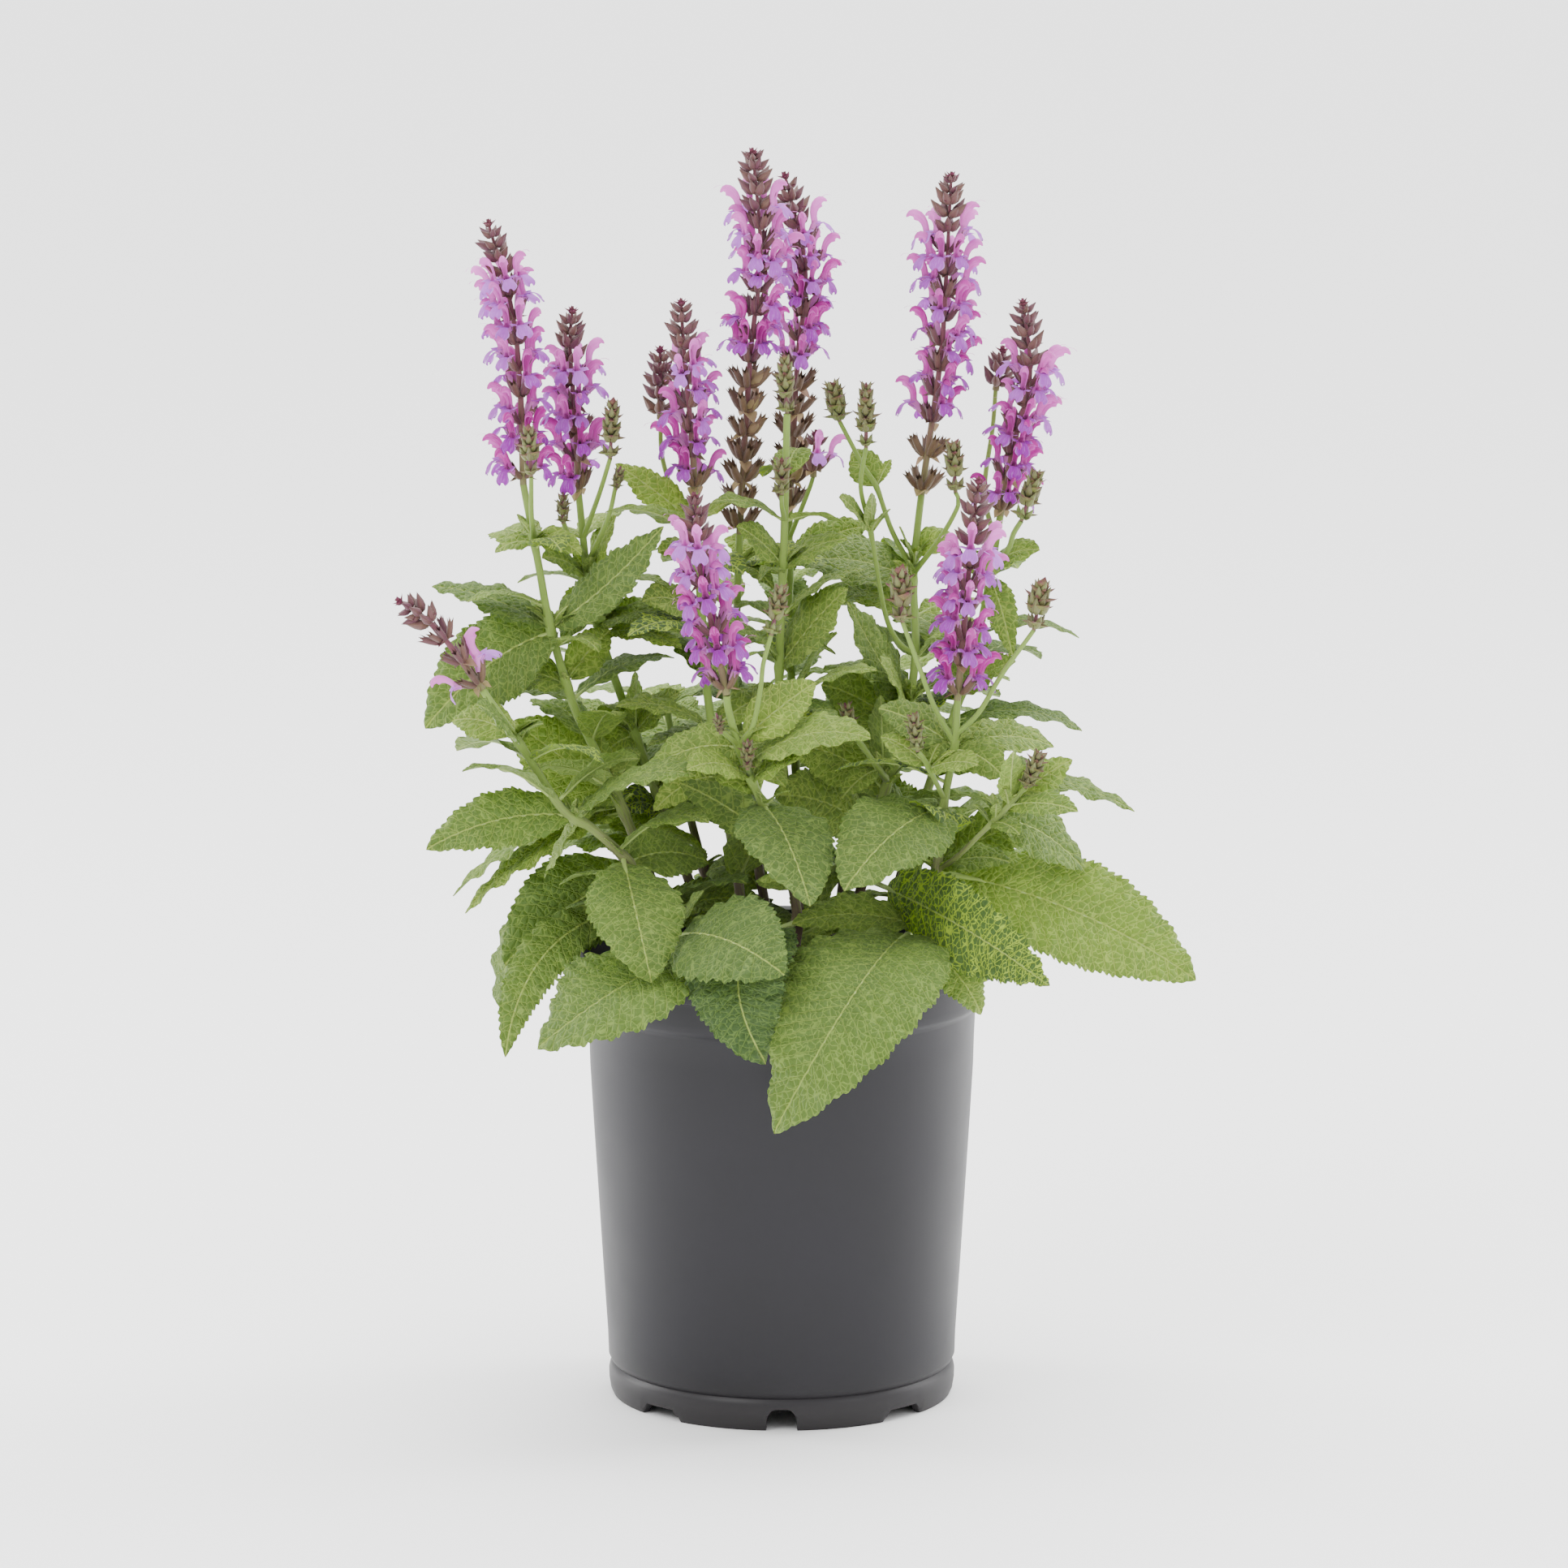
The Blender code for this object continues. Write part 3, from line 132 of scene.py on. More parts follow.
def plane_place(point):
    """Where a point is seen: its (u, v) on the upright plane."""
    share = EYE.y / (EYE.y - point.y)
    place = EYE + (point - EYE) * share
    return place.x, place.z


def smooth_line(points, step):
    """A Catmull-Rom line through the points, with a point about every step."""
    ends = [2 * points[0] - points[1]] + list(points) + [2 * points[-1] - points[-2]]
    line = [points[0].copy()]
    for i in range(len(points) - 1):
        a, b, c, d = ends[i : i + 4]
        count = max(1, round((c - b).length / step))
        for k in range(1, count + 1):
            t = k / count
            line.append(
                0.5
                * (
                    2 * b
                    + (c - a) * t
                    + (2 * a - 5 * b + 4 * c - d) * t * t
                    + (3 * b - a - 3 * c + d) * t ** 3
                )
            )
    return line


# The plant. Each shoot has its place in the soil as (x, y), its route, and its leaves.
# A leaf is (root u, root v, tip u, tip v, tip depth, seen width, turn, arch), and may end with
# a place that its midrib passes. turn is how many degrees its face is rolled to the viewer.
# A stalk is a route that leaves the shoot near its first place. buds are the base, tip and
# radius of small young spikes. fill gives the height and length of pairs of leaves behind.

SHOOTS = {
    "a": dict(
        soil=(-40, -6),
        route=[
            (-46, 190, 6), (-64, 235, 6), (-80, 270, 8),
            (-88, 298, 9), (-92, 320, 10), (-98, 353, 10),
        ],
        leaves=[
            (-88, 297, -136, 259, 16, 30, 55, 6),
            (-88, 298, -133, 314, 2, 10, 12, 3),
            (-88, 301, -106, 305, -8, 8, 30, 2),
            (-86, 298, -45, 337, 14, 16, 50, -3),
            (-83, 276, -65, 297, -8, 14, 60, 2),
            (-84, 274, -112, 276, 26, 13, 35, 5),
            (-95, 331, -109, 327, 12, 6, 30, 2),
            (-93, 332, -76, 326, 16, 9, 35, 3),
            (-64, 232, -103, 262, 2, 34, 65, 0),
            (-62, 226, -122, 187, 12, 20, 50, 8),
            (-66, 228, -126, 194, -4, 7, 10, 8),
        ],
        stalks=[[(-94, 332, 10), (-95, 342, 24), (-95, 356, 31)]],
        fill=[(236, 60)],
    ),
    "b": dict(
        soil=(-28, 14),
        route=[
            (-34, 195, -14), (-48, 235, -15), (-60, 268, -15),
            (-70, 299, -14), (-74, 320, -13), (-77, 349, -12),
        ],
        leaves=[
            (-75, 316, -91, 325, -2, 9, 35, 3),
            (-75, 313, -84, 300, 6, 9, 40, 2),
            (-71, 318, -63, 341, -8, 10, 45, 2),
            (-70, 299, -41, 303, -2, 9, 20, 3),
            (-69, 295, -38, 290, 6, 8, 20, 4),
            (-69, 297, -47, 306, -28, 10, 50, 3),
            (-50, 258, -74, 240, 2, 18, 50, 4),
            (-50, 259, -56, 281, -12, 9, 50, 1),
            (-50, 259, -39, 273, -8, 9, 50, 2),
        ],
        stalks=[
            [(-74, 333, -12), (-69, 350, 0), (-65, 363, 5)],
            [(-73, 322, -12), (-66, 340, 0), (-63, 352, 2)],
            [(-75, 326, -12), (-81, 334, -1), (-83, 339, 2)],
        ],
        buds=[((-63, 351, 2), (-61, 360, 2), 2.6), ((-83, 338, 2), (-83, 350, 2), 3.2)],
        fill=[(232, 58)],
    ),
    "c": dict(
        soil=(-14, -4),
        route=[(-16, 195, 4), (-22, 232, 2), (-28, 270, -2), (-31, 310, -4), (-33, 350, -5)],
        leaves=[
            (-32, 338, -63, 361, -12, 12, 50, 1),
            (-31, 322, -47, 327, 6, 12, 45, 3),
            (-31, 303, -53, 308, 8, 12, 45, 4),
            (-33, 338, -19, 346, 2, 6, 30, 2),
            (-24, 240, -49, 227, 12, 12, 45, 4),
        ],
        stalks=[[(-31, 322, -4), (-38, 340, -18), (-45, 362, -26), (-46, 378, -27)]],
        fill=[],
    ),
    "d": dict(
        soil=(-3, 16),
        route=[(-8, 200, -18), (-14, 240, -18), (-18, 275, -19), (-17, 305, -20), (-16, 334, -20)],
        leaves=[(-16, 322, -3, 313, -8, 6, 10, 3)],
        fill=[(292, 38), (240, 52)],
    ),
    "e": dict(
        soil=(9, 32),
        route=[(8, 200, -33), (5, 250, -40), (3, 300, -47), (3, 343, -50)],
        leaves=[
            (3, 320, 33, 337, -58, 13, 50, 4),
            (3, 318, -22, 332, -60, 12, 45, 3),
            (4, 273, 21, 296, -30, 9, 30, 2),
        ],
        stalks=[[(4, 333, -49), (10, 350, -42), (12, 356, -39)]],
        fill=[(288, 42), (226, 62)],
    ),
    "f": dict(
        soil=(26, 13),
        route=[
            (29, 190, -12), (34, 215, -8), (39, 234, -6), (46, 252, -9),
            (51, 290, -20), (50, 318, -30), (53, 349, -38),
        ],
        leaves=[
            (49, 316, 6, 324, -14, 10, 12, 4),
            (51, 326, 65, 334, -20, 9, 40, 2),
            (50, 322, 45, 337, -18, 7, 40, 1),
            (46, 268, 25, 308, -2, 20, 60, -2),
            (46, 266, 38, 284, 8, 12, 50, 2),
            (34, 200, 102, 150, 72, 30, 55, 0, (68, 178, 60)),
            (36, 219, -3, 233, 12, 22, 55, 4),
            (39, 240, 38, 272, 10, 10, 40, 0),
            (38, 236, 2, 252, -8, 22, 55, 5),
            (46, 258, 15, 276, -14, 20, 60, 3),
            (36, 352, 27, 367, -16, 12, 50, 1),
            (34, 334, 22, 348, -10, 10, 50, 2),
            (34, 335, 34, 350, -6, 9, 50, 1),
            (30, 253, 15, 261, 20, 6, 30, 1),
            (37, 243, 23, 232, 16, 8, 30, 2),
        ],
        stalks=[
            [(50, 320, -30), (42, 335, -27), (36, 352, -25), (31, 360, -25), (22, 377, -25)],
            [
                (51, 288, -20), (44, 293, -18), (39, 305, -17),
                (34, 334, -16), (30, 352, -16), (32, 367, -16),
            ],
            [(50, 319, -30), (60, 332, -19), (67, 345, -14), (66, 350, -12)],
            [(41, 238, -7), (38, 242, 2), (31, 252, 12), (27, 257, 15)],
        ],
        fill=[(272, 48)],
    ),
    "g": dict(
        soil=(40, 6),
        route=[(44, 195, -8), (54, 230, -13), (67, 268, -20), (76, 300, -23), (83, 341, -25)],
        leaves=[
            (80, 322, 98, 328, -14, 9, 40, 2),
            (79, 318, 88, 287, -8, 11, 45, 3),
            (70, 272, 89, 285, -6, 9, 40, 2),
            (60, 243, 135, 227, -2, 8, 8, 6),
        ],
        stalks=[
            [(81, 330, -24), (77, 350, -38), (80, 375, -45), (81, 389, -46)],
            [(80, 322, -24), (86, 328, -14), (88, 334, -10), (91, 339, -8)],
        ],
        fill=[(276, 46), (214, 64)],
    ),
    "h": dict(
        soil=(4, -24),
        route=[
            (6, 185, 28), (2, 205, 32), (-7, 229, 40),
            (-14, 245, 44), (-20, 265, 48), (-21, 272, 50),
        ],
        leaves=[
            (-7, 229, 11, 190, 86, 38, 0, 6),
            (-12, 254, 13, 277, 44, 17, 55, 1),
            (-17, 251, -53, 241, 50, 16, 45, 5),
            (-10, 240, 10, 250, 60, 10, 40, 3),
            (-12, 240, -36, 243, 62, 10, 35, 4),
            (-2, 214, -39, 238, 26, 15, 55, 2),
            (-2, 184, -6, 128, 92, 38, 0, 0, (-16, 165, 88)),
        ],
        stalks=[
            [(-16, 253, 45), (-11, 260, 49), (-8, 275, 52), (-7, 284, 53), (-4, 295, 54)],
            [(-13, 241, 42), (-13, 244, 52)],
            [(-17, 252, 45), (-23, 258, 52)],
        ],
        buds=[((-13, 243, 52), (-13, 255, 52), 3.2), ((-23, 257, 52), (-25, 265, 52), 2.2)],
        fill=[],
    ),
    "i": dict(
        soil=(38, -28),
        route=[
            (43, 172, 31), (51, 181, 34), (59, 203, 38),
            (62, 230, 38), (66, 252, 38), (67, 270, 39),
        ],
        leaves=[
            (60, 203, 159, 161, 46, 36, 60, 0, (112, 188, 44)),
            (62, 229, 24, 196, 84, 40, 20, 6),
            (60, 205, 88, 207, 58, 9, 30, 3),
            (66, 252, 104, 252, 30, 12, 30, 4),
            (66, 250, 85, 240, 56, 15, 40, 3),
            (65, 252, 37, 267, 44, 13, 45, 2),
            (50, 179, -3, 101, 100, 40, 0, 0, (30, 159, 91)),
            (51, 177, 77, 147, 84, 16, 30, 0, (66, 165, 74)),
            (51, 183, 4, 192, 56, 16, 40, 4),
            (57, 243, 75, 245, 60, 8, 30, 2),
            (56, 244, 38, 256, 58, 8, 30, 2),
            (87, 229, 113, 227, 64, 9, 35, 2),
            (87, 229, 88, 250, 56, 7, 30, 1),
            (84, 226, 111, 247, 46, 13, 45, 2),
            (80, 222, 91, 218, 62, 10, 20, 2),
            (82, 224, 116, 204, 40, 22, 45, 5),
        ],
        stalks=[
            [(65, 253, 38), (58, 268, 42), (52, 284, 46), (46, 300, 49)],
            [(67, 256, 38), (75, 265, 40), (84, 280, 42), (96, 297, 44)],
            [(62, 231, 38), (55, 246, 48), (52, 250, 51)],
            [(59, 203, 38), (68, 210, 44), (75, 217, 48), (84, 226, 52), (93, 236, 55)],
        ],
        fill=[],
    ),
    "j": dict(
        soil=(-36, -30),
        route=[
            (-43, 172, 33), (-57, 205, 38), (-72, 220, 41),
            (-84, 228, 44), (-98, 250, 47), (-114, 274, 50),
        ],
        leaves=[
            (-80, 225, -136, 212, 58, 20, 50, 5),
            (-79, 226, -33, 241, 66, 8, 15, 7),
            (-60, 210, -50, 160, 88, 32, 0, 0, (-56, 188, 72)),
            (-58, 208, -28, 207, 16, 16, 40, 4),
            (-101, 256, -91, 261, 54, 5, 20, 1),
            (-100, 254, -115, 268, 60, 14, 50, 2),
            (-101, 256, -126, 262, 36, 13, 45, 3),
            (-78, 222, -91, 201, 30, 12, 40, 2),
        ],
        fill=[],
    ),
    "k": dict(
        soil=(8, 0),
        route=[(6, 195, 0), (2, 232, 0), (-1, 270, 0), (1, 335, 0), (2, 380, 0)],
        leaves=[
            (0, 322, -17, 337, 8, 12, 45, 2),
            (0, 321, 25, 332, 6, 9, 25, 3),
            (-1, 283, 25, 313, 10, 15, 50, 2),
        ],
        stalks=[[(1, 340, 0), (0, 345, 9), (0, 349, 11)]],
        fill=[],
    ),
    "l": dict(
        soil=(-28, -44),
        route=[(-34, 166, 46), (-42, 180, 48)],
        leaves=[
            (-36, 169, -94, 134, 92, 32, 20, 0, (-62, 158, 84)),
            (-40, 179, 1, 163, 112, 34, 40, 0, (-22, 177, 90)),
            (-42, 179, -30, 196, 54, 8, 30, 1),
        ],
        fill=[],
    ),
    "m": dict(
        soil=(-48, -2),
        route=[(-52, 182, 0), (-58, 200, 0)],
        leaves=[
            (-58, 200, -106, 163, 12, 36, 55, 6),
            (-56, 190, -106, 131, 30, 18, 45, 0, (-90, 172, 26)),
            (-57, 195, -106, 142, -12, 14, 30, 0, (-98, 180, -6)),
        ],
        fill=[(185, 66)],
    ),
    "n": dict(
        soil=(52, 0),
        route=[(55, 180, -2), (60, 205, -4)],
        leaves=[(60, 204, 100, 222, -12, 18, 45, 5)],
        fill=[(196, 68)],
    ),
    "o": dict(
        soil=(-24, 40),
        route=[(-30, 205, -52), (-40, 245, -62), (-44, 268, -66)],
        leaves=[],
        fill=[(266, 44), (234, 60), (196, 76)],
    ),
    "p": dict(
        soil=(22, 50),
        route=[(24, 205, -60), (32, 245, -72), (36, 275, -78)],
        leaves=[],
        fill=[(272, 46), (236, 62), (198, 78)],
    ),
}

# Each spike has its axis from base to tip, then the heights v where its open flowers begin
# and end. Faded whorls lie below the first and buds above the second. A spike whose bloom is
# None has buds only.
SPIKES = {
    "1": dict(
        axis=[(-98, 353, 10), (-99, 390, 10), (-102, 420, 10), (-111, 454, 10)],
        bloom=(360, 436),
    ),
    "2": dict(
        axis=[(-77, 349, -12), (-78, 375, -12), (-80, 405, -12), (-79, 421, -12)],
        bloom=(354, 408),
    ),
    "3": dict(
        axis=[(-33, 350, -5), (-34, 370, -5), (-37, 405, -5), (-38, 424, -5)],
        bloom=(352, 406),
    ),
    "4": dict(
        axis=[(-16, 334, -20), (-12, 400, -20), (-8, 440, -20), (-11, 481, -20)],
        bloom=(404, 462),
    ),
    "5": dict(
        axis=[(3, 343, -50), (6, 400, -50), (9, 435, -50), (1, 472, -50)],
        bloom=(404, 460),
    ),
    "6": dict(
        axis=[(53, 349, -38), (60, 400, -40), (62, 430, -40), (64, 472, -40)],
        bloom=(386, 456),
    ),
    "7": dict(
        axis=[(83, 341, -25), (88, 368, -25), (94, 395, -25), (91, 424, -25)],
        bloom=(352, 408),
    ),
    "8": dict(
        axis=[(-21, 272, 50), (-25, 292, 50), (-31, 320, 51), (-33, 350, 52)],
        bloom=(280, 334),
    ),
    "9": dict(
        axis=[(67, 270, 39), (70, 305, 40), (73, 340, 40), (75, 356, 40)],
        bloom=(278, 332),
    ),
    "10": dict(
        axis=[(-114, 274, 50), (-127, 292, 50), (-136, 302, 50), (-147, 309, 50)],
        bloom=(279, 297),
    ),
    "3_side": dict(axis=[(-46, 378, -27), (-46, 406, -27)], bloom=None),
    "5_side": dict(axis=[(12, 356, -39), (13, 374, -38)], bloom=(362, 368)),
    "7_side": dict(axis=[(81, 389, -46), (84, 406, -46)], bloom=None),
}

# Young spikes still in bud: base and tip of each, and its radius.
BUD_SPIKES = {
    "1": ((-65, 363, 5), (-64, 385, 6), 4.6),
    "2": ((-95, 356, 31), (-96, 375, 31), 4.6),
    "3": ((2, 380, 0), (1, 402, 0), 4.6),
    "4": ((0, 349, 11), (0, 363, 11), 4.4),
    "5": ((22, 377, -25), (19, 392, -25), 5.0),
    "6": ((32, 367, -16), (32, 392, -16), 4.6),
    "7": ((66, 350, -12), (65, 369, -12), 5.0),
    "8": ((46, 300, 49), (45, 320, 49), 5.6),
    "9": ((96, 297, 44), (99, 315, 44), 5.6),
    "10": ((27, 257, 15), (24, 269, 15), 3.8),
    "11": ((52, 250, 51), (50, 265, 51), 3.8),
    "12": ((93, 236, 55), (99, 250, 55), 4.2),
    "13": ((-4, 295, 54), (0, 314, 54), 4.6),
    "14": ((91, 339, -8), (97, 358, -8), 5.0),
}

SEED = 7

# Lengths of leaf above which a solid blade has one more place along it
LEAF_SIZES = (32.0, 54.0, 82.0, 112.0)

# The gap kept between leaves, and the stretch by its root where a leaf may meet its own stem
CLEARANCE = 0.7
ROOT_FREE = 9.0

# The ways in which a leaf may be moved to be clear, and what each costs
PUSHES = (0, 7, -7, 14, -14, 22, -22, 32, -32)
LIFTS = (0, 4, -4, 9, -9, 15)
ROLLS = (0, 14, -14, 30, -30)
SIZES = (1.0, 0.88, 0.76)
PUSH_COST = 7
LIFT_COST = 3
ROLL_COST = 12
SIZE_COST = 22


class Tube:
    """A stem or stalk: its centre line and its radius at both ends."""

    def __init__(self, line, thick, thin):
        self.line = line
        self.thick = thick
        self.thin = thin

    def radius(self, i):
        return self.thick + (self.thin - self.thick) * i / (len(self.line) - 1)

    def nearest(self, u, v):
        """The point of the centre line that is seen nearest to (u, v), and how near."""
        best = None
        for a, b in zip(self.line, self.line[1:]):
            for k in range(17):
                point = a.lerp(b, k / 16)
                x, z = plane_place(point)
                gap = math.hypot(x - u, z - v)
                if best is None or gap < best[1]:
                    best = point, gap
        return best


class Leaf:
    """A leaf: its midrib from root to tip, its width, and how its face is turned."""

    def __init__(self, node, root, middle, tip, width, turn, petiole, seed):
        self.node = node
        self.root = root
        self.middle = middle
        self.tip = tip
        self.width = width
        self.turn = turn
        self.petiole = petiole
        self.seed = seed
        draw = random.Random(seed)
        self.wave = draw.uniform(0.5, 1.0) * (1 if draw.random() < 0.5 else -1)
        self.phase = draw.uniform(0.0, math.tau)

    def length(self):
        return (self.middle - self.root).length + (self.tip - self.middle).length

    def midrib(self, t):
        """The midrib's point and direction at t, from 0 at the root to 1 at the tip."""
        bend = 2 * self.middle - (self.root + self.tip) / 2
        point = (1 - t) ** 2 * self.root + 2 * t * (1 - t) * bend + t * t * self.tip
        way = 2 * (1 - t) * (bend - self.root) + 2 * t * (self.tip - bend)
        return point, way.normalized()

    def frame(self, t):
        """The point, the way along, the way across and the face's normal at t."""
        point, along = self.midrib(t)
        chord = (self.tip - self.root).normalized()
        level = chord.cross(Vector((0, 0, 1)))
        if level.length < 0.05:
            level = Vector((1, 0, 0))
        level.normalize()
        up = level.cross(chord).normalized()
        side = level if level.dot(TO_VIEWER) >= 0 else -level
        angle = math.radians(self.turn)
        face = up * math.cos(angle) + side * math.sin(angle)
        across = along.cross(face).normalized()
        normal = across.cross(along).normalized()
        return point, along, across, normal

    def half_width(self, t):
        """The blade's half width at t, without teeth."""
        if t <= self.petiole:
            return PETIOLE_HALF_WIDTH
        s = min(1.0, (t - self.petiole) / (1 - self.petiole))
        bulge = max(0.0, math.sin(math.pi * s ** 0.7)) ** 0.82
        return max(PETIOLE_HALF_WIDTH * (1 - s), self.width / 2 * bulge)

    def surface(self, t, x, tooth=0.0):
        """A point of the blade's mid surface at t, x from -1 at one edge to 1 at the other."""
        point, _, across, normal = self.frame(t)
        half = self.half_width(t)
        if t > self.petiole:
            half *= 1 + tooth
        bend = FOLD * abs(x) - CROWN * x * x * 0.6
        turn = RIPPLE_TURN * t + self.phase + RIPPLE_SKEW * x
        ripple = RIPPLE * self.wave * math.sin(turn) * x * x
        lift = half * (bend + ripple * 2)
        return point + across * (x * half) + normal * lift, normal


def seen_share(leaf):
    """How much of the blade's width the viewer sees, from 0 to 1."""
    _, along, across, _ = leaf.frame(0.55)
    flat_along = along - TO_VIEWER * along.dot(TO_VIEWER)
    flat_across = across - TO_VIEWER * across.dot(TO_VIEWER)
    if flat_along.length < 0.2:
        return max(0.5, flat_across.length)
    flat_along.normalize()
    return (flat_across - flat_along * flat_across.dot(flat_along)).length


def make_tubes(shoot):
    """The stem and stalks of one shoot."""
    x, y = shoot["soil"]
    foot = [
        Vector((x, y, SOIL_TOP - HOLE_DEPTH + HOLE_ROOM)),
        Vector((x, y, SOIL_TOP + UPRIGHT_FOOT)),
    ]
    route = foot + [seen(*place) for place in shoot["route"]]
    tubes = [Tube(smooth_line(route, STEM_STEP), *STEM_RADII)]
    for places in shoot.get("stalks", []):
        u, v, _ = places[0]
        start, _ = min((t.nearest(u, v) for t in tubes), key=lambda found: found[1])
        route = [start] + [seen(*place) for place in places[1:]]
        thick = STALK_RADIUS * STALK_SWELL
        tubes.append(Tube(smooth_line(route, STEM_STEP), thick, STALK_RADIUS))
    return tubes


def visible_leaf(node, row, tubes, seed):
    """A leaf from its row in the table."""
    u, v, tip_u, tip_v, depth, width, turn, arch = row[:8]
    root, _ = min((t.nearest(u, v) for t in tubes), key=lambda found: found[1])
    tip = seen(tip_u, tip_v, depth)
    middle = (root + tip) / 2 + Vector((0, 0, arch))
    petiole = SHORT_PETIOLE
    if len(row) > 8:
        middle = seen(*row[8])
        petiole = LONG_PETIOLE
    leaf = Leaf(node, root, middle, tip, width, turn, petiole, seed)
    share = seen_share(leaf)
    leaf.width = min(1.1 * width / max(share, 0.3), WIDEST_SHARE * leaf.length())
    return leaf


def spread_leaf(node, root, outward, size, rise, arch, width, turn, seed):
    """A leaf that reaches outward from its root; rise, arch and width are shares of its size."""
    tip = root + outward * size + Vector((0, 0, rise * size))
    middle = (root + tip) / 2 + Vector((0, 0, arch * size))
    return Leaf(node, root, middle, tip, size * width, turn, FILL_PETIOLE, seed)


def fill_leaves(node, shoot, tubes, draw):
    """Pairs of leaves, each pair a quarter turn from the last, that point back and sideways."""
    leaves = []
    start = draw.uniform(0.0, math.pi)
    for i, (height, length) in enumerate(shoot["fill"]):
        line = tubes[0].line
        root = min(line, key=lambda p: abs(p.z - height))
        for k in range(2):
            angle = start + math.pi / 2 * i + math.pi * k + draw.uniform(-0.3, 0.3)
            outward = Vector((math.cos(angle), math.sin(angle), 0.0))
            if outward.y < -0.1:
                outward.y = -outward.y
            size = length * draw.uniform(0.88, 1.1)
            rise = draw.uniform(-0.12, 0.3)
            turn = draw.uniform(-18, 18)
            seed = draw.randrange(10 ** 6)
            leaf = spread_leaf(node, root, outward, size, rise, 0.14, FILL_WIDTH, turn, seed)
            leaves.append(leaf)
    return leaves


def tube_rings(line, radii, sides, turn=0.0):
    """Rings of points round a line, without twist."""
    rings = []
    along = (line[1] - line[0]).normalized()
    side = along.orthogonal().normalized()
    for i, centre in enumerate(line):
        before = line[max(i - 1, 0)]
        after = line[min(i + 1, len(line) - 1)]
        way = (after - before).normalized()
        side = (side - way * side.dot(way)).normalized()
        ring = []
        for k in range(sides):
            spin = Quaternion(way, math.tau * k / sides + turn)
            ring.append(centre + spin @ side * radii[i])
        rings.append(ring)
    return rings


def rings_mesh(rings):
    """Points and faces of a closed tube through rings of equal count."""
    sides = len(rings[0])
    points = [p for ring in rings for p in ring]
    faces = [tuple(range(sides))[::-1]]
    for i in range(len(rings) - 1):
        for k in range(sides):
            a = i * sides + k
            b = i * sides + (k + 1) % sides
            faces.append((a, b, b + sides, a + sides))
    last = (len(rings) - 1) * sides
    faces.append(tuple(range(last, last + sides)))
    return points, faces


def blade_count(leaf):
    """How many places across the blade's length its solid has."""
    return sum(leaf.length() > size for size in LEAF_SIZES) + 1


def blade_stations(leaf, count):
    """Places along the midrib from the root and the blade's start to near the tip."""
    stations = [0.0, leaf.petiole]
    for k in range(1, count + 1):
        stations.append(leaf.petiole + (1 - leaf.petiole) * (k / (count + 0.45)) ** 1.05)
    return stations + [1.0]


def blade_mesh(leaf, count, thickness):
    """Points and triangles of a leaf's closed solid, split alike on both faces."""
    stations = blade_stations(leaf, count)
    points = []
    for i, t in enumerate(stations):
        tooth = TOOTH if i % 2 == 0 else -TOOTH
        thick = PETIOLE_THICKNESS if i < 2 else thickness
        ways = (0,) if t == 1.0 else (-1, 1) if i < 2 else (-1, 0, 1)
        for x in ways:
            place, normal = leaf.surface(t, x, tooth)
            points.append(place + normal * thick / 2)
            points.append(place - normal * thick / 2)
    faces = [(0, 1, 3), (0, 3, 2)]
    faces += [(0, 2, 6), (0, 6, 4), (1, 7, 3), (1, 5, 7)]
    faces += [(0, 4, 5), (0, 5, 1), (2, 7, 6), (2, 3, 7)]
    faces += [(4, 6, 10), (4, 10, 8), (6, 12, 10), (5, 11, 7), (5, 9, 11), (7, 11, 13)]
    faces += [(4, 8, 9), (4, 9, 5), (6, 13, 12), (6, 7, 13)]
    for i in range(count - 1):
        a = 8 + 6 * i
        b = a + 6
        faces += [(a, a + 2, b + 2), (a, b + 2, b)]
        faces += [(a + 2, a + 4, b + 4), (a + 2, b + 4, b + 2)]
        faces += [(a + 1, b + 3, a + 3), (a + 1, b + 1, b + 3)]
        faces += [(a + 3, b + 5, a + 5), (a + 3, b + 3, b + 5)]
        faces += [(a, b, b + 1), (a, b + 1, a + 1)]
        faces += [(a + 4, b + 5, b + 4), (a + 4, a + 5, b + 5)]
    a = 8 + 6 * (count - 1)
    top = a + 6
    low = top + 1
    faces += [(a, a + 2, top), (a + 2, a + 4, top), (a + 1, low, a + 3), (a + 3, low, a + 5)]
    faces += [(a, top, low), (a, low, a + 1), (a + 4, low, top), (a + 4, a + 5, low)]
    return points, faces


def blade_skin(leaf, thickness, start):
    """Points and faces of a plain closed blade from start to the tip, to test for crossings."""
    count = 6
    rings = []
    for k in range(count + 1):
        t = start + (1 - start) * k / count
        ring = []
        for x, way in ((-1, 1), (0, 1), (1, 1), (1, -1), (0, -1), (-1, -1)):
            place, normal = leaf.surface(t, x, TOOTH)
            ring.append(place + normal * way * thickness / 2)
        rings.append(ring)
    return rings_mesh(rings)


class Obstacle:
    """Something that leaves bend clear of, with the box that it fills."""

    def __init__(self, node, points, faces):
        self.node = node
        self.tree = BVHTree.FromPolygons(points, faces)
        self.low = [min(p[k] for p in points) for k in range(3)]
        self.high = [max(p[k] for p in points) for k in range(3)]

    def meets(self, other):
        """Whether two obstacles cross each other."""
        for k in range(3):
            if self.low[k] > other.high[k] or other.low[k] > self.high[k]:
                return False
        return bool(self.tree.overlap(other.tree))


def leaf_obstacles(leaf):
    """A leaf as it meets other shoots, and without its root, as it meets its own."""
    thickness = 2 * CLEARANCE + BLADE_THICKNESS
    whole = Obstacle(leaf.node, *blade_mesh(leaf, blade_count(leaf), thickness))
    start = min(0.5, max(leaf.petiole, ROOT_FREE / leaf.length()))
    outer = Obstacle(leaf.node, *blade_skin(leaf, 2 * CLEARANCE, start))
    return whole, outer


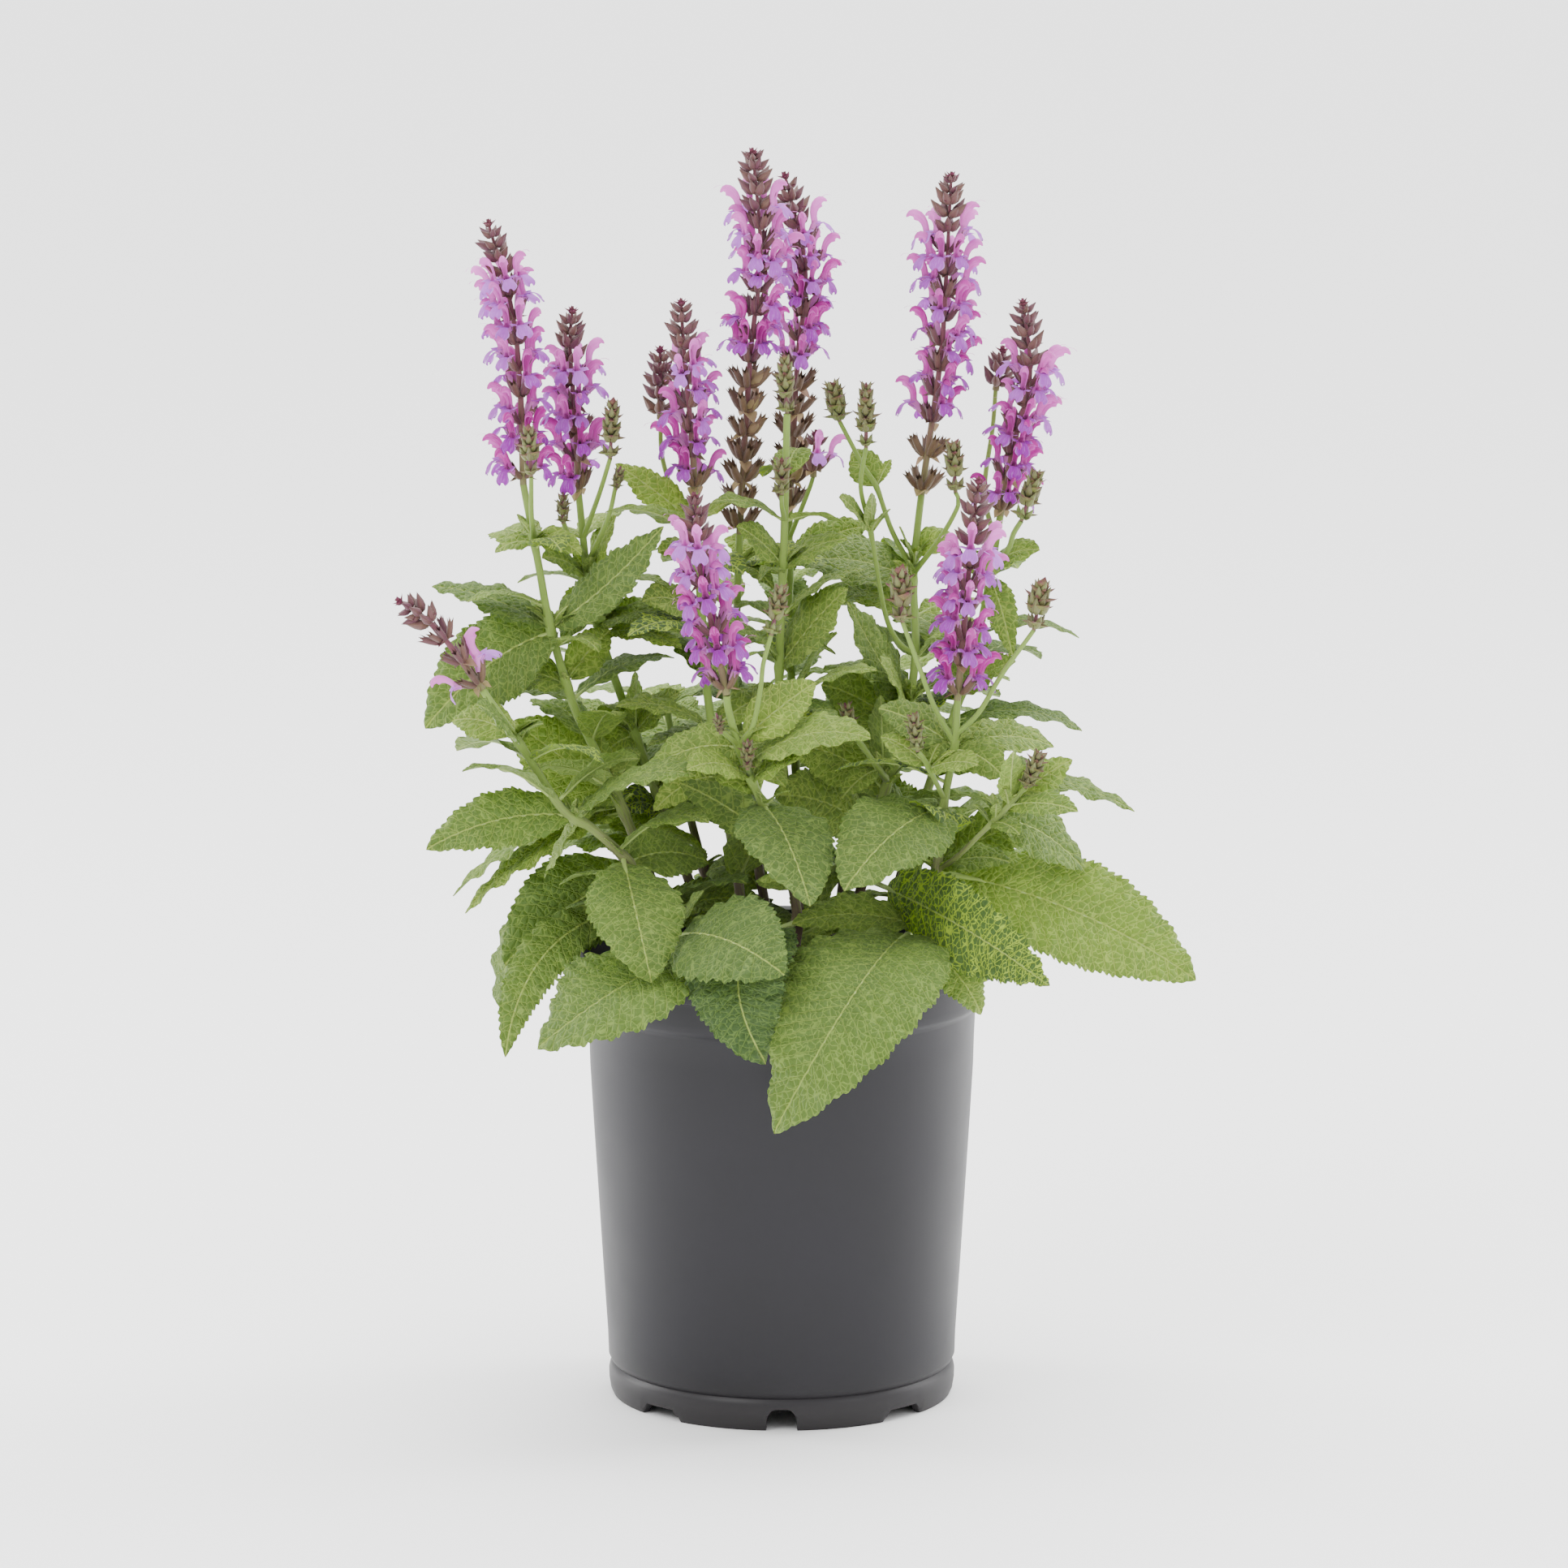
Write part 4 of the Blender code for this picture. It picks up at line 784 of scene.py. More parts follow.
def is_clear(leaf, solids, placed):
    """Whether a leaf crosses no solid, and no leaf placed before it."""
    whole, outer = leaf_obstacles(leaf)
    low_edge = min(p.z for p in (leaf.middle, leaf.tip))
    if low_edge < SOIL_TOP + 2 and math.hypot(leaf.tip.x, leaf.tip.y) < RIM_RADIUS:
        return False
    for solid in solids:
        mine = outer if solid.node == leaf.node else whole
        if mine.meets(solid):
            return False
    for other_whole, other_outer in placed:
        if other_whole.node == leaf.node:
            if outer.meets(other_outer):
                return False
        elif whole.meets(other_whole):
            return False
    return True


def moved(leaf, push, lift, roll, size):
    """The leaf with its tip pushed along the sight line, lifted, rolled and made smaller."""
    shift = TO_VIEWER * push + Vector((0, 0, lift))
    reach = leaf.tip - leaf.root
    tip = leaf.root + reach * size + shift
    middle = leaf.root + (leaf.middle - leaf.root) * size + shift * 0.5
    width = leaf.width * size
    turn = leaf.turn + roll
    return Leaf(leaf.node, leaf.root, middle, tip, width, turn, leaf.petiole, leaf.seed)


def bends():
    """Every way to move a leaf, the slightest first."""
    ways = []
    for size in SIZES:
        for push in PUSHES:
            for lift in LIFTS:
                for roll in ROLLS:
                    cost = abs(push) / PUSH_COST + abs(lift) / LIFT_COST
                    cost += abs(roll) / ROLL_COST
                    cost += (1 - size) * SIZE_COST
                    ways.append((cost, push, lift, roll, size))
    ways.sort(key=lambda way: way[0])
    return ways


def spike_hull(name, spike):
    """A fat tube that a spike's flowers stay inside."""
    line = smooth_line([seen(*place) for place in spike["axis"]], 6.0)
    radii = []
    for point in line:
        _, v = plane_place(point)
        radius = BUD_REACH
        if spike["bloom"] and spike["bloom"][0] - 5 < v < spike["bloom"][1] + 3:
            radius = FLOWER_REACH
        radii.append(radius)
    radii[0] = SPIKE_FOOT
    return Obstacle("spike_" + name, *rings_mesh(tube_rings(line, radii, 6)))


def pot_hull():
    """The pot's outer shape and the soil's top, which leaves bend clear of."""
    sides = 32
    outline = (
        (FOOT_RADIUS, 0),
        (SHOULDER_RADIUS, 120),
        (NECK_RADIUS, 166),
        (RIM_RADIUS, 168),
        (RIM_RADIUS, POT_HEIGHT),
        (NECK_RADIUS, POT_HEIGHT),
        (NECK_RADIUS - 2, SOIL_TOP + 1),
    )
    rings = []
    for radius, height in outline:
        ring = []
        for k in range(sides):
            angle = math.tau * k / sides
            ring.append(Vector((radius * math.cos(angle), radius * math.sin(angle), height)))
        rings.append(ring)
    return Obstacle("pot", *rings_mesh(rings))


def grow():
    """The whole plant: tubes and leaves of each shoot, each leaf bent clear of the rest."""
    draw = random.Random(SEED)
    tubes = {name: make_tubes(shoot) for name, shoot in SHOOTS.items()}
    solids = [pot_hull()]
    for name, parts in tubes.items():
        for tube in parts:
            radii = [tube.radius(i) + CLEARANCE for i in range(len(tube.line))]
            solids.append(Obstacle(name, *rings_mesh(tube_rings(tube.line, radii, 4))))
    solids += [spike_hull(name, spike) for name, spike in SPIKES.items()]
    for name, (base, top, radius) in BUD_SPIKES.items():
        foot = seen(*base)
        tip = seen(*top)
        line = [foot, foot.lerp(tip, 0.35), tip]
        rings = tube_rings(line, [1.5, radius + 1, radius], 6)
        solids.append(Obstacle("bud_" + name, *rings_mesh(rings)))
    wanted = []
    for name, shoot in SHOOTS.items():
        for row in shoot["leaves"]:
            leaf = visible_leaf(name, row, tubes[name], draw.randrange(10 ** 6))
            wanted.append((leaf, True))
    for name, shoot in SHOOTS.items():
        for leaf in fill_leaves(name, shoot, tubes[name], draw):
            wanted.append((leaf, False))
    wanted.sort(key=lambda pair: (not pair[1], -pair[0].length()))
    ways = bends()
    leaves = []
    placed = []
    for leaf, _ in wanted:
        for _, push, lift, roll, size in ways:
            trial = moved(leaf, push, lift, roll, size)
            if is_clear(trial, solids, placed):
                leaves.append(trial)
                placed.append(leaf_obstacles(trial))
                break
    return tubes, leaves, solids, placed


# Fine leaves. A fullness below 1 makes the blade's outline rounder.
TOOTH_PITCH = 2.8
ROWS_A_TOOTH = 4
COLUMN_STEP = 2.1
UNDER_DEPTH = 0.42
RIB_SIDES = 6
LEAF_FULLNESS = 0.82

# Measures that grow with a leaf's length: how far its teeth stand out, how high its edge is
# ruffled, and how far apart its side veins are.
TOOTH_REACH = dict(least=0.35, rate=0.013, most=1.25)
RUFFLE_HEIGHT = dict(least=0.25, rate=0.014, most=1.3)
QUILT_SPACE = dict(least=0.8, rate=0.085, most=6.2)
CLOSEST_VEINS = 2.6

# Relief of the blade between its veins and along its midrib
QUILT_HEIGHT = 0.62
QUILT_SLOPE = 0.85
GROOVE_DEPTH = 0.3
GROOVE_HALF = 0.7

# The net of veins: the size of its cells in millimetres, and the slant and space of side veins
NET_CELL = 2.5
FINE_CELL = 1.1
VEIN_SLANT = 0.8
VEIN_SPACE = 5.2

# How much light comes through a leaf
LEAF_GLOW = 0.34

# How bright a leaf is, from 0 to 1. Below 0 is painted shade, with painted backlight on its veins.
DIMMEST = 0.12
BACKLIT = -0.3
BACKLIT_SHARE = 0.15

# Painted light and shade: how bright the photo shows some nearest leaves, by where each tip is
# seen
PAINTED_LEAF_LIGHT = {
    (-3, 101): 0.5,
    (-6, 128): 0.0,
    (1, 163): 0.25,
    (-94, 134): 0.5,
    (-50, 160): 0.55,
    (159, 161): 1.15,
    (102, 150): BACKLIT,
    (77, 147): 1.0,
    (4, 180): 0.9,
    (11, 190): 0.3,
    (24, 196): 0.4,
    (-122, 187): 1.3,
    (-106, 163): 0.4,
}

# Inner leaves that only this script adds: pairs up each long stem, kept clear of the other
# leaves as if they were INNER_ROOM times as large, and with INNER_COARSE times wider teeth.
INNER_SHOOTS = "abcdefghijkop"
INNER_FIRST = 12.0
INNER_TOP = 12.0
INNER_STEP = 18.0
INNER_LENGTHS = (60.0, 30.0)
INNER_SHORTEST_AT = 180
INNER_WIDTH = 0.5
INNER_COARSE = 1.5
INNER_ROOM = 1.25
INNER_EFFORT = 5.5

# Young leaves in the angles of the stems
AXIL_SIZES = (6, 13)
AXIL_WIDTH = 0.42

# The heights over which leaves grow younger and stems lose their brown, and the length below
# which a leaf is a young one
YOUNG_FROM = 170
YOUNG_RANGE = 190
STEM_AGE_RANGE = 210
SMALL_LEAF = 40

# Fine spikes: whorls of flowers, and scales on buds
LOW_WHORL_GAP = 10.8
HIGH_WHORL_GAP = 7.8
FADED_GAPS = {"usual": 9.0, "6": 13.5}
WHORL_ANGLES = (-46, 0, 46)
WHORL_TURN = 90
FIRST_WHORL = 3.0
TIP_LENGTH = 3.6
TIP_BRACTS = 6
TIP_SIZE = 0.64
TIP_LEANS = (-38, -60)
HOOD_RISE = 9.0
LOW_LIP = 10.0
SCALE_GAP = 3.2
SCALE_REACH = 3.7
SCALE_WIDTHS = (1.04, 0.82)
LONG_SPIKE = 16.0
BARE_FOOT = 6.0
FLOWER_STEM = (1.5, 0.6)
BUD_STEM = (0.9, 0.4)

# The share of calyces with an open flower, on a full spike and on a sparse one, and the share
# of faded ones that keep a husk. A sparse spike blooms over less than SPARSE_RANGE.
# STYLE_SHARE is the share of open flowers whose style shows.
OPEN_SHARE = 0.84
SPARSE_SHARE = 0.18
SPARSE_RANGE = 25.0
HUSK_SHARE = 0.12
STYLE_SHARE = 0.6

FLOWER_SIZE = 1.1
FADED_SIZE = 1.15
LARGEST_BUD = 0.92
CALYX_LEANS = {"open": 6, "faded": 9, "bud": 17}

# Studio. A light has its name, its place and size in metres, and its power.
SKY_POWER = 1.25
LIGHTS = (
    ("key", (-1.3, -1.5, 1.9), (1.2, 1.2), 34),
    ("fill", (1.6, -1.4, 1.2), (1.2, 1.2), 12),
    ("left_side", (-1.8, 0.7, 0.9), (0.6, 1.6), 34),
    ("right_side", (1.8, 0.7, 0.9), (0.6, 1.6), 34),
)
LIT_PLACE = (0, 0, 0.26)
SUN_POWER = 6.0
SUN_SPREAD = 70
SUN_LEAN = (-24, 8)
FLOOR_REACH = 9.0
FLOOR_SIDES = 96


class Body:
    """Points, quads, two UV maps and material numbers, gathered into one mesh.

    The map grain says where a point lies on its leaf, petal or stem. The map tint holds a random
    share for each leaf or flower, which is painted light and shade on some leaves, and its age or
    place on the plant."""

    def __init__(self):
        self.points = []
        self.quads = []
        self.grain = []
        self.tint = []
        self.slots = []
        self.count = 0

    def add(self, points, quads, grain=None, tint=(0, 0), slot=0):
        points = np.asarray(points, float).reshape(-1, 3)
        quads = np.asarray(quads, int).reshape(-1, 4)
        if grain is None:
            grain = np.zeros((len(points), 2))
        self.points.append(points)
        self.quads.append(quads + self.count)
        self.grain.append(np.asarray(grain, float).reshape(-1, 2))
        self.tint.append(np.tile(np.asarray(tint, float), (len(points), 1)))
        self.slots.append(np.full(len(quads), slot, int))
        self.count += len(points)

    def make(self, name, materials):
        """The mesh object, in metres and in the CAD model's frame."""
        points = (np.concatenate(self.points) + np.array(POT_PLACE)) * MM
        quads = np.concatenate(self.quads)
        mesh = bpy.data.meshes.new(name)
        mesh.from_pydata(points.tolist(), [], quads.tolist())
        for material in materials:
            mesh.materials.append(material)
        mesh.polygons.foreach_set("material_index", np.concatenate(self.slots))
        for label, places in (("grain", self.grain), ("tint", self.tint)):
            layer = mesh.uv_layers.new(name=label)
            layer.data.foreach_set("uv", np.concatenate(places)[quads.ravel()].ravel())
        mesh.polygons.foreach_set("use_smooth", np.ones(len(quads), bool))
        mesh.update()
        thing = bpy.data.objects.new(name, mesh)
        bpy.context.scene.collection.objects.link(thing)
        return thing


def grid_quads(rows, columns, closed=False):
    """Quads between neighbouring points of a grid; closed joins each row's ends."""
    across = columns if closed else columns - 1
    i, k = np.meshgrid(np.arange(rows - 1), np.arange(across), indexing="ij")
    a = i * columns + k
    b = i * columns + (k + 1) % columns
    return np.stack([a, b, b + columns, a + columns], -1).reshape(-1, 4)


def unit(vectors):
    """The vectors, each made one long."""
    return vectors / np.maximum(np.linalg.norm(vectors, axis=-1, keepdims=True), 1e-9)


def smooth_share(values, low, high):
    """0 below low, 1 above high, and smooth between."""
    t = np.clip((values - low) / (high - low), 0, 1)
    return t * t * (3 - 2 * t)


def add_tube(body, line, radii, sides, tint, slot, square=0.0, ages=None):
    """A tube along a line; square above 0 gives it four rounded corners."""
    angles = np.arange(sides) * math.tau / sides
    form = 1 + square * np.cos(4 * angles)
    rings = tube_rings(line, [1.0] * len(line), sides)
    centres = np.array(line)
    ways = np.array(rings) - centres[:, None]
    points = centres[:, None] + ways * (np.array(radii)[:, None] * form[None])[..., None]
    steps = np.linalg.norm(np.diff(centres, axis=0), axis=1)
    walked = np.concatenate([[0], np.cumsum(steps)])
    grain = np.zeros((len(line), sides, 2))
    grain[..., 0] = walked[:, None] / 100
    grain[..., 1] = np.abs(angles / math.tau - 0.5)[None]
    body.add(points, grid_quads(len(line), sides, True), grain, tint, slot)
    if ages is not None:
        body.tint[-1][:, 1] = np.repeat(ages, sides)


# The places of a leaf's materials in LEAF_MATERIALS
BLADE, UNDER, RIB = range(3)


def painted_light_by_leaf(leaves):
    """Painted light and shade from the photo, each for the leaf whose tip is nearest its place."""
    shades = {}
    for place, shade in PAINTED_LEAF_LIGHT.items():
        nearest = min(leaves, key=lambda leaf: math.dist(plane_place(leaf.tip), place))
        shades[nearest.seed] = shade
    return shades


def grown(length, least, rate, most):
    """A measure that grows with a leaf's length, up to a limit."""
    return min(most, least + rate * length)


def add_leaf(body, leaf, youth, coarse=1.0):
    """A fine leaf: toothed, quilted between its side veins and ruffled at its edges.

    s runs from 0 at the blade's start to 1 at its tip, x from -1 to 1 across it. a and b are
    the same in millimetres. Each is a column or a row, so that sums of them fill the grid."""
    draw = random.Random(leaf.seed + 1)
    length = leaf.length() * (1 - leaf.petiole)
    teeth = max(6, round(length / TOOTH_PITCH / coarse))
    rows = ROWS_A_TOOTH * teeth + 1
    s = np.linspace(0, 1, rows)
    t = leaf.petiole + (1 - leaf.petiole) * s
    frames = [leaf.frame(value) for value in t.tolist()]
    point, along, across, normal = (np.array(part)[:, None] for part in zip(*frames))
    half = np.maximum([leaf.half_width(value) for value in t.tolist()], 0.12)[:, None]
    widest = float(half.max())
    half = widest * (half / widest) ** LEAF_FULLNESS
    columns = 2 * max(3, round(widest / COLUMN_STEP / coarse)) + 1
    x = np.linspace(-1, 1, columns)[None]
    edge = np.abs(x)

    # Teeth at the edge, and lobes that reach back beside the stalk
    phase = (s * teeth) % 1.0
    taper = np.sin(math.pi * np.clip(s, 0, 1) ** 0.7)[:, None] ** 0.5
    tooth = np.sin(math.pi * phase ** 1.5)[:, None] * taper
    reach = grown(length, **TOOTH_REACH)
    rim = smooth_share(edge, 0.75, 1.0)
    out = reach * tooth * rim
    b = x * half + np.sign(x) * (out - 0.5 * reach * rim)
    lobe = 0.42 * widest * edge ** 1.5 * np.clip(1 - s / 0.2, 0, 1)[:, None] ** 2
    forward = 0.6 * out - lobe * min(1.0, widest / 14)
    a = s[:, None] * length + forward

    # Side veins sunk in the face, with the quilting raised between them
    spacing = max(CLOSEST_VEINS, grown(length, **QUILT_SPACE))
    shift = draw.random()
    vein = (a - 0.8 * np.abs(b) + 0.008 * b * b) / spacing + 0.5 * (x > 0) + shift
    gap = np.abs(vein - np.round(vein)) * spacing * 0.8
    fade = np.clip((1 - edge) * 3, 0, 1) * smooth_share(half, 0.5, 4.0)
    bulk = min(1.0, widest / 11)
    quilt = (1 - np.exp(-(gap / QUILT_SLOPE) ** 2)) * QUILT_HEIGHT * bulk * fade
    groove = -GROOVE_DEPTH * bulk * np.exp(-(b / GROOVE_HALF) ** 2)

    # The ruffled edge, and the fold and ripple that the solid blade has too
    swell = grown(length, **RUFFLE_HEIGHT)
    wave = 8.5 + 5 * draw.random()
    turns = math.tau * a / wave + np.where(x > 0, draw.random() * 6, draw.random() * 6)
    ruffle = swell * edge ** 3 * np.sin(turns) * smooth_share(half, 0.5, 6.0)
    turn = RIPPLE_TURN * t[:, None] + leaf.phase + RIPPLE_SKEW * x
    ripple = RIPPLE * leaf.wave * np.sin(turn) * x * x
    lift = half * (FOLD * edge - CROWN * x * x * 0.6 + 2 * ripple) + ruffle
    flat = point + across * b[..., None] + along * forward[..., None]
    top = flat + normal * (lift + quilt + groove)[..., None]

    # The two faces and the stalk
    grain = np.stack([np.broadcast_to(a + shift * spacing, b.shape), b], -1) / 100
    # Painted light and shade on the listed leaves, and painted shade with painted backlight on
    # some inner ones; other leaves get a random tone
    shade = PAINTED_LIGHT_BY_SEED.get(leaf.seed, DIMMEST + (1 - DIMMEST) * draw.random())
    if coarse > 1 and draw.random() < BACKLIT_SHARE:
        shade = BACKLIT
    tint = (shade, youth)
    body.add(top, grid_quads(rows, columns), grain, tint, BLADE)
    picks = np.array([0, columns // 4, columns // 2, columns - 1 - columns // 4, columns - 1])
    sink = np.array([0.0, 1.0, 1.0, 1.0, 0.0])[None] * UNDER_DEPTH
    low = flat[:, picks] + normal * (lift[:, picks] - sink)[..., None]
    quads = grid_quads(rows, len(picks))[:, ::-1]
    body.add(low, quads, grain[:, picks], tint, UNDER)
    add_rib(body, leaf, tint)


def add_rib(body, leaf, tint):
    """The leaf's stalk, which runs on under the blade as its midrib."""
    size = min(1.15, max(0.45, math.sqrt(leaf.length() / 70)))
    line = []
    radii = []
    count = 14
    for i in range(count + 1):
        share = i / count
        t = 0.94 * share
        place, normal = leaf.surface(t, 0)
        radius = size * (1.15 - 0.95 * share ** 0.7)
        line.append(place - normal * (radius * 0.75 * min(1.0, t / (leaf.petiole + 0.05))))
        radii.append(radius)
    add_tube(body, line, radii, RIB_SIDES, tint, RIB)


def fine_stem(tube, roots):
    """A tube's centre line and radii close together, thicker where leaves join it."""
    line = smooth_line(tube.line, 2.5)
    radii = []
    for i, place in enumerate(line):
        share = i / (len(line) - 1)
        radius = tube.thick + (tube.thin - tube.thick) * share
        near = min(((root - place).length for root in roots), default=99)
        radii.append(radius * (1 + 0.3 * math.exp(-(near / 2.6) ** 2)))
    return line, radii


def stem_ages(line):
    """How old a stem is at each point: 0 at the soil, 1 at the highest spikes."""
    return [min(1.0, max(0.0, (p.z - SOIL_TOP) / STEM_AGE_RANGE)) for p in line]


def inner_leaves(solids, placed):
    """Leaves among the stems, in pairs, each where it is clear of those before it."""
    draw = random.Random(SEED + 5)
    leaves = []
    for name in INNER_SHOOTS:
        line = smooth_line(TUBES[name][0].line, 4.0)
        top = line[-1].z
        height = SOIL_TOP + INNER_FIRST + draw.uniform(0, 10)
        turn = draw.uniform(0, math.pi)
        while height < top - INNER_TOP:
            share = min(1.0, (height - SOIL_TOP) / INNER_SHORTEST_AT)
            length = INNER_LENGTHS[0] + (INNER_LENGTHS[1] - INNER_LENGTHS[0]) * share
            root = min(line, key=lambda p: abs(p.z - height))
            for k in range(2):
                angle = turn + math.pi * k + draw.uniform(-0.3, 0.3)
                outward = Vector((math.cos(angle), math.sin(angle), 0.0))
                if outward.y < 0:
                    outward.y *= 0.4
                size = length * draw.uniform(0.8, 1.15)
                rise = draw.uniform(-0.1, 0.45)
                facing = draw.uniform(-20, 20)
                seed = draw.randrange(10 ** 6)
                leaf = spread_leaf(
                    name, root, outward, size, rise, 0.13, INNER_WIDTH, facing, seed
                )
                for _, push, lift, roll, scale in QUICK_WAYS:
                    roomy = moved(leaf, push, lift, roll, scale * INNER_ROOM)
                    if is_clear(roomy, solids, placed):
                        leaves.append(moved(leaf, push, lift, roll, scale))
                        placed.append(leaf_obstacles(roomy))
                        break
            turn += math.pi / 2
            height += INNER_STEP * draw.uniform(0.85, 1.15)
    return leaves


def axil_leaves(name, draw):
    """Tiny young leaves in the angles where large leaves join their stem."""
    leaves = []
    for root in ROOTS[name]:
        for _ in range(2):
            angle = draw.uniform(0, math.tau)
            size = draw.uniform(*AXIL_SIZES)
            rise = draw.uniform(0.5, 1.3)
            outward = Vector((math.cos(angle), math.sin(angle) * 0.7, rise)).normalized()
            facing = draw.uniform(-40, 40)
            seed = draw.randrange(10 ** 6)
            leaf = spread_leaf(name, root, outward, size, 0, 0.1, AXIL_WIDTH, facing, seed)
            leaves.append(leaf)
    return leaves


# The places of a spike's materials in SPIKE_MATERIALS, and of a flower's in PETAL_MATERIALS
CALYX, BRACT, AXIS, PAPER = range(4)
HOOD, LIP = range(2)

# The two bracts of a whorl, by its kind: how far below it they join, their size, the range of
# their lean in degrees, their width and their material. A papery bract has shrunk as well.
WHORL_BRACTS = {
    "papery": dict(drop=1.0, size=1.0, leans=(10, 48), width=1.15, slot=PAPER),
    "bud": dict(drop=0.5, size=1.05, leans=(-30, -8), width=1.0, slot=BRACT),
    "open": dict(drop=0.6, size=0.85, leans=(-12, 22), width=1.0, slot=BRACT),
}
SHRUNK = (0.75, 1.0)

# One flower, in its own frame: outward from the spike's axis, sideways, and up the axis.
# A path is (outward, up). At each of its places a petal has its half width, and how far its
# edges turn down.
HOOD_PATH = (
    (4.4, 4.2), (5.2, 6.6), (5.4, 9.2), (6.0, 11.9),
    (7.6, 14.2), (10.0, 15.2), (12.0, 14.4), (12.8, 12.8),
)
HOOD_HALF = (1.0, 0.9, 0.95, 1.25, 1.7, 1.65, 1.1, 0.3)
HOOD_DEPTH = (1.8, 2.1, 2.2, 2.7, 3.5, 3.2, 2.0, 0.5)
LIP_PATH = (
    (5.4, 4.5), (7.2, 5.8), (9.0, 6.1), (10.5, 5.4),
    (11.6, 4.1), (12.3, 2.6), (12.3, 1.4),
)
LIP_HALF = (1.1, 1.4, 1.6, 2.1, 2.8, 2.7, 1.5)
LIP_DEPTH = (0.5, 0.3, 0.1, 0.4, 0.9, 0.9, 0.4)
THROAT_PATH = ((3.2, 2.4), (4.6, 4.2), (5.9, 5.5), (7.3, 6.6))
THROAT_RADII = (0.9, 1.2, 1.5, 1.7)
STYLE_PATH = ((10.6, 14.4), (12.2, 15.0), (13.7, 14.9), (14.8, 14.2))
STYLE_HALF = 0.14
CALYX_PATH = ((0.9, -0.3), (1.9, 0.4), (3.0, 1.9), (4.1, 3.7), (5.0, 5.5))
CALYX_RADII = (0.45, 1.05, 1.3, 1.25, 1.2)
CLOSED_SHARES = (1, 1.4, 1.5, 1.25, 0.7)
BRACT_HALF = 2.5


def sample(values, count):
    """count values along a smooth line through the given ones."""
    values = np.asarray(values, float)
    places = np.linspace(0, len(values) - 1, count)
    i = np.minimum(places.astype(int), len(values) - 2)
    f = (places - i)[:, None] if values.ndim > 1 else places - i
    before = values[np.maximum(i - 1, 0)]
    a, b = values[i], values[i + 1]
    after = values[np.minimum(i + 2, len(values) - 1)]
    square = (2 * before - 5 * a + 4 * b - after) * f * f
    cube = (3 * a - before - 3 * b + after) * f ** 3
    return 0.5 * (2 * a + (b - before) * f + square + cube)


def petal(path, halves, rows, columns, depths):
    """A petal's grid: a strip along path, its edges turned down by depths."""
    line = sample(path, rows)
    half = sample(halves, rows)[:, None]
    depth = sample(depths, rows)[:, None]
    way = unit(np.gradient(line, axis=0))
    face = np.stack([way[:, 1], -way[:, 0]], -1)
    w = np.linspace(-1, 1, columns)[None]
    side = half * np.sin(math.pi / 2 * w)
    drop = depth * np.abs(w) ** 1.7
    points = np.zeros((rows, columns, 3))
    points[..., 0] = line[:, :1] + face[:, :1] * drop
    points[..., 1] = side
    points[..., 2] = line[:, 1:] + face[:, 1:] * drop
    grain = np.zeros((rows, columns, 2))
    grain[..., 0] = np.linspace(0, 1, rows)[:, None]
    grain[..., 1] = w * 0.5 + 0.5
    return points, grid_quads(rows, columns), grain


def hood_form():
    """The upper lip: a narrow arched hood."""
    return petal(HOOD_PATH, HOOD_HALF, 12, 9, HOOD_DEPTH)


def lip_form():
    """The lower lip, notched at its end and cupped in the middle."""
    points, quads, grain = petal(LIP_PATH, LIP_HALF, 10, 11, LIP_DEPTH)
    across = grain[..., 1] * 2 - 1
    w = np.abs(across)
    end = smooth_share(grain[..., 0], 0.55, 1.0)
    points[..., 2] += end * (1.1 * (1 - w) ** 2 + 0.3 * np.sin(9 * w))
    points[..., 0] += end * (0.45 * np.sin(8 * across + 1) * w - 0.6 * (1 - w))
    return points, quads, grain


def ear_form(side):
    """One of the two small side lobes of the lower lip."""
    points = np.zeros((4, 4, 3))
    grain = np.zeros((4, 4, 2))
    for i in range(4):
        for k in range(4):
            out = i / 3
            swell = math.sin(math.pi * min(out + 0.25, 1) * 0.8)
            wide = (k / 3 - 0.5) * (1.3 + 1.8 * swell)
            high = 6.0 + 1.3 * out - 0.7 * out * out - 0.2 * wide
            points[i, k] = (7.4 + wide + 1.0 * out, side * (1.0 + 2.7 * out), high)
            grain[i, k] = (0.55 + 0.4 * out, 0.5 + 0.45 * out)
    return points, grid_quads(4, 4), grain


def throat_form():
    """The corolla's tube between the calyx and its two lips."""
    line = np.array(THROAT_PATH)
    rows, columns = len(line), 9
    angles = np.arange(columns) * math.tau / (columns - 1)
    points = np.zeros((rows, columns, 3))
    grain = np.zeros((rows, columns, 2))
    way = unit(np.gradient(line, axis=0))
    for i, radius in enumerate(THROAT_RADII):
        over = np.array([-way[i, 1], way[i, 0]])
        points[i, :, 0] = line[i, 0] + over[0] * radius * np.cos(angles)
        points[i, :, 1] = radius * 0.85 * np.sin(angles)
        points[i, :, 2] = line[i, 1] + over[1] * radius * np.cos(angles)
        grain[i, :, 0] = 0.12 * i / 3
        grain[i, :, 1] = 0.5
    return points, grid_quads(rows, columns), grain


def style_form():
    """The thin style that stands out of the hood's tip."""
    path = np.array(STYLE_PATH)
    points = np.zeros((4, 2, 3))
    points[..., 0] = path[:, :1]
    points[..., 1] = np.array([-STYLE_HALF, STYLE_HALF])
    points[..., 2] = path[:, 1:] + np.array([0.0, 0.1])
    grain = np.full((4, 2, 2), 0.15)
    return points, grid_quads(4, 2), grain


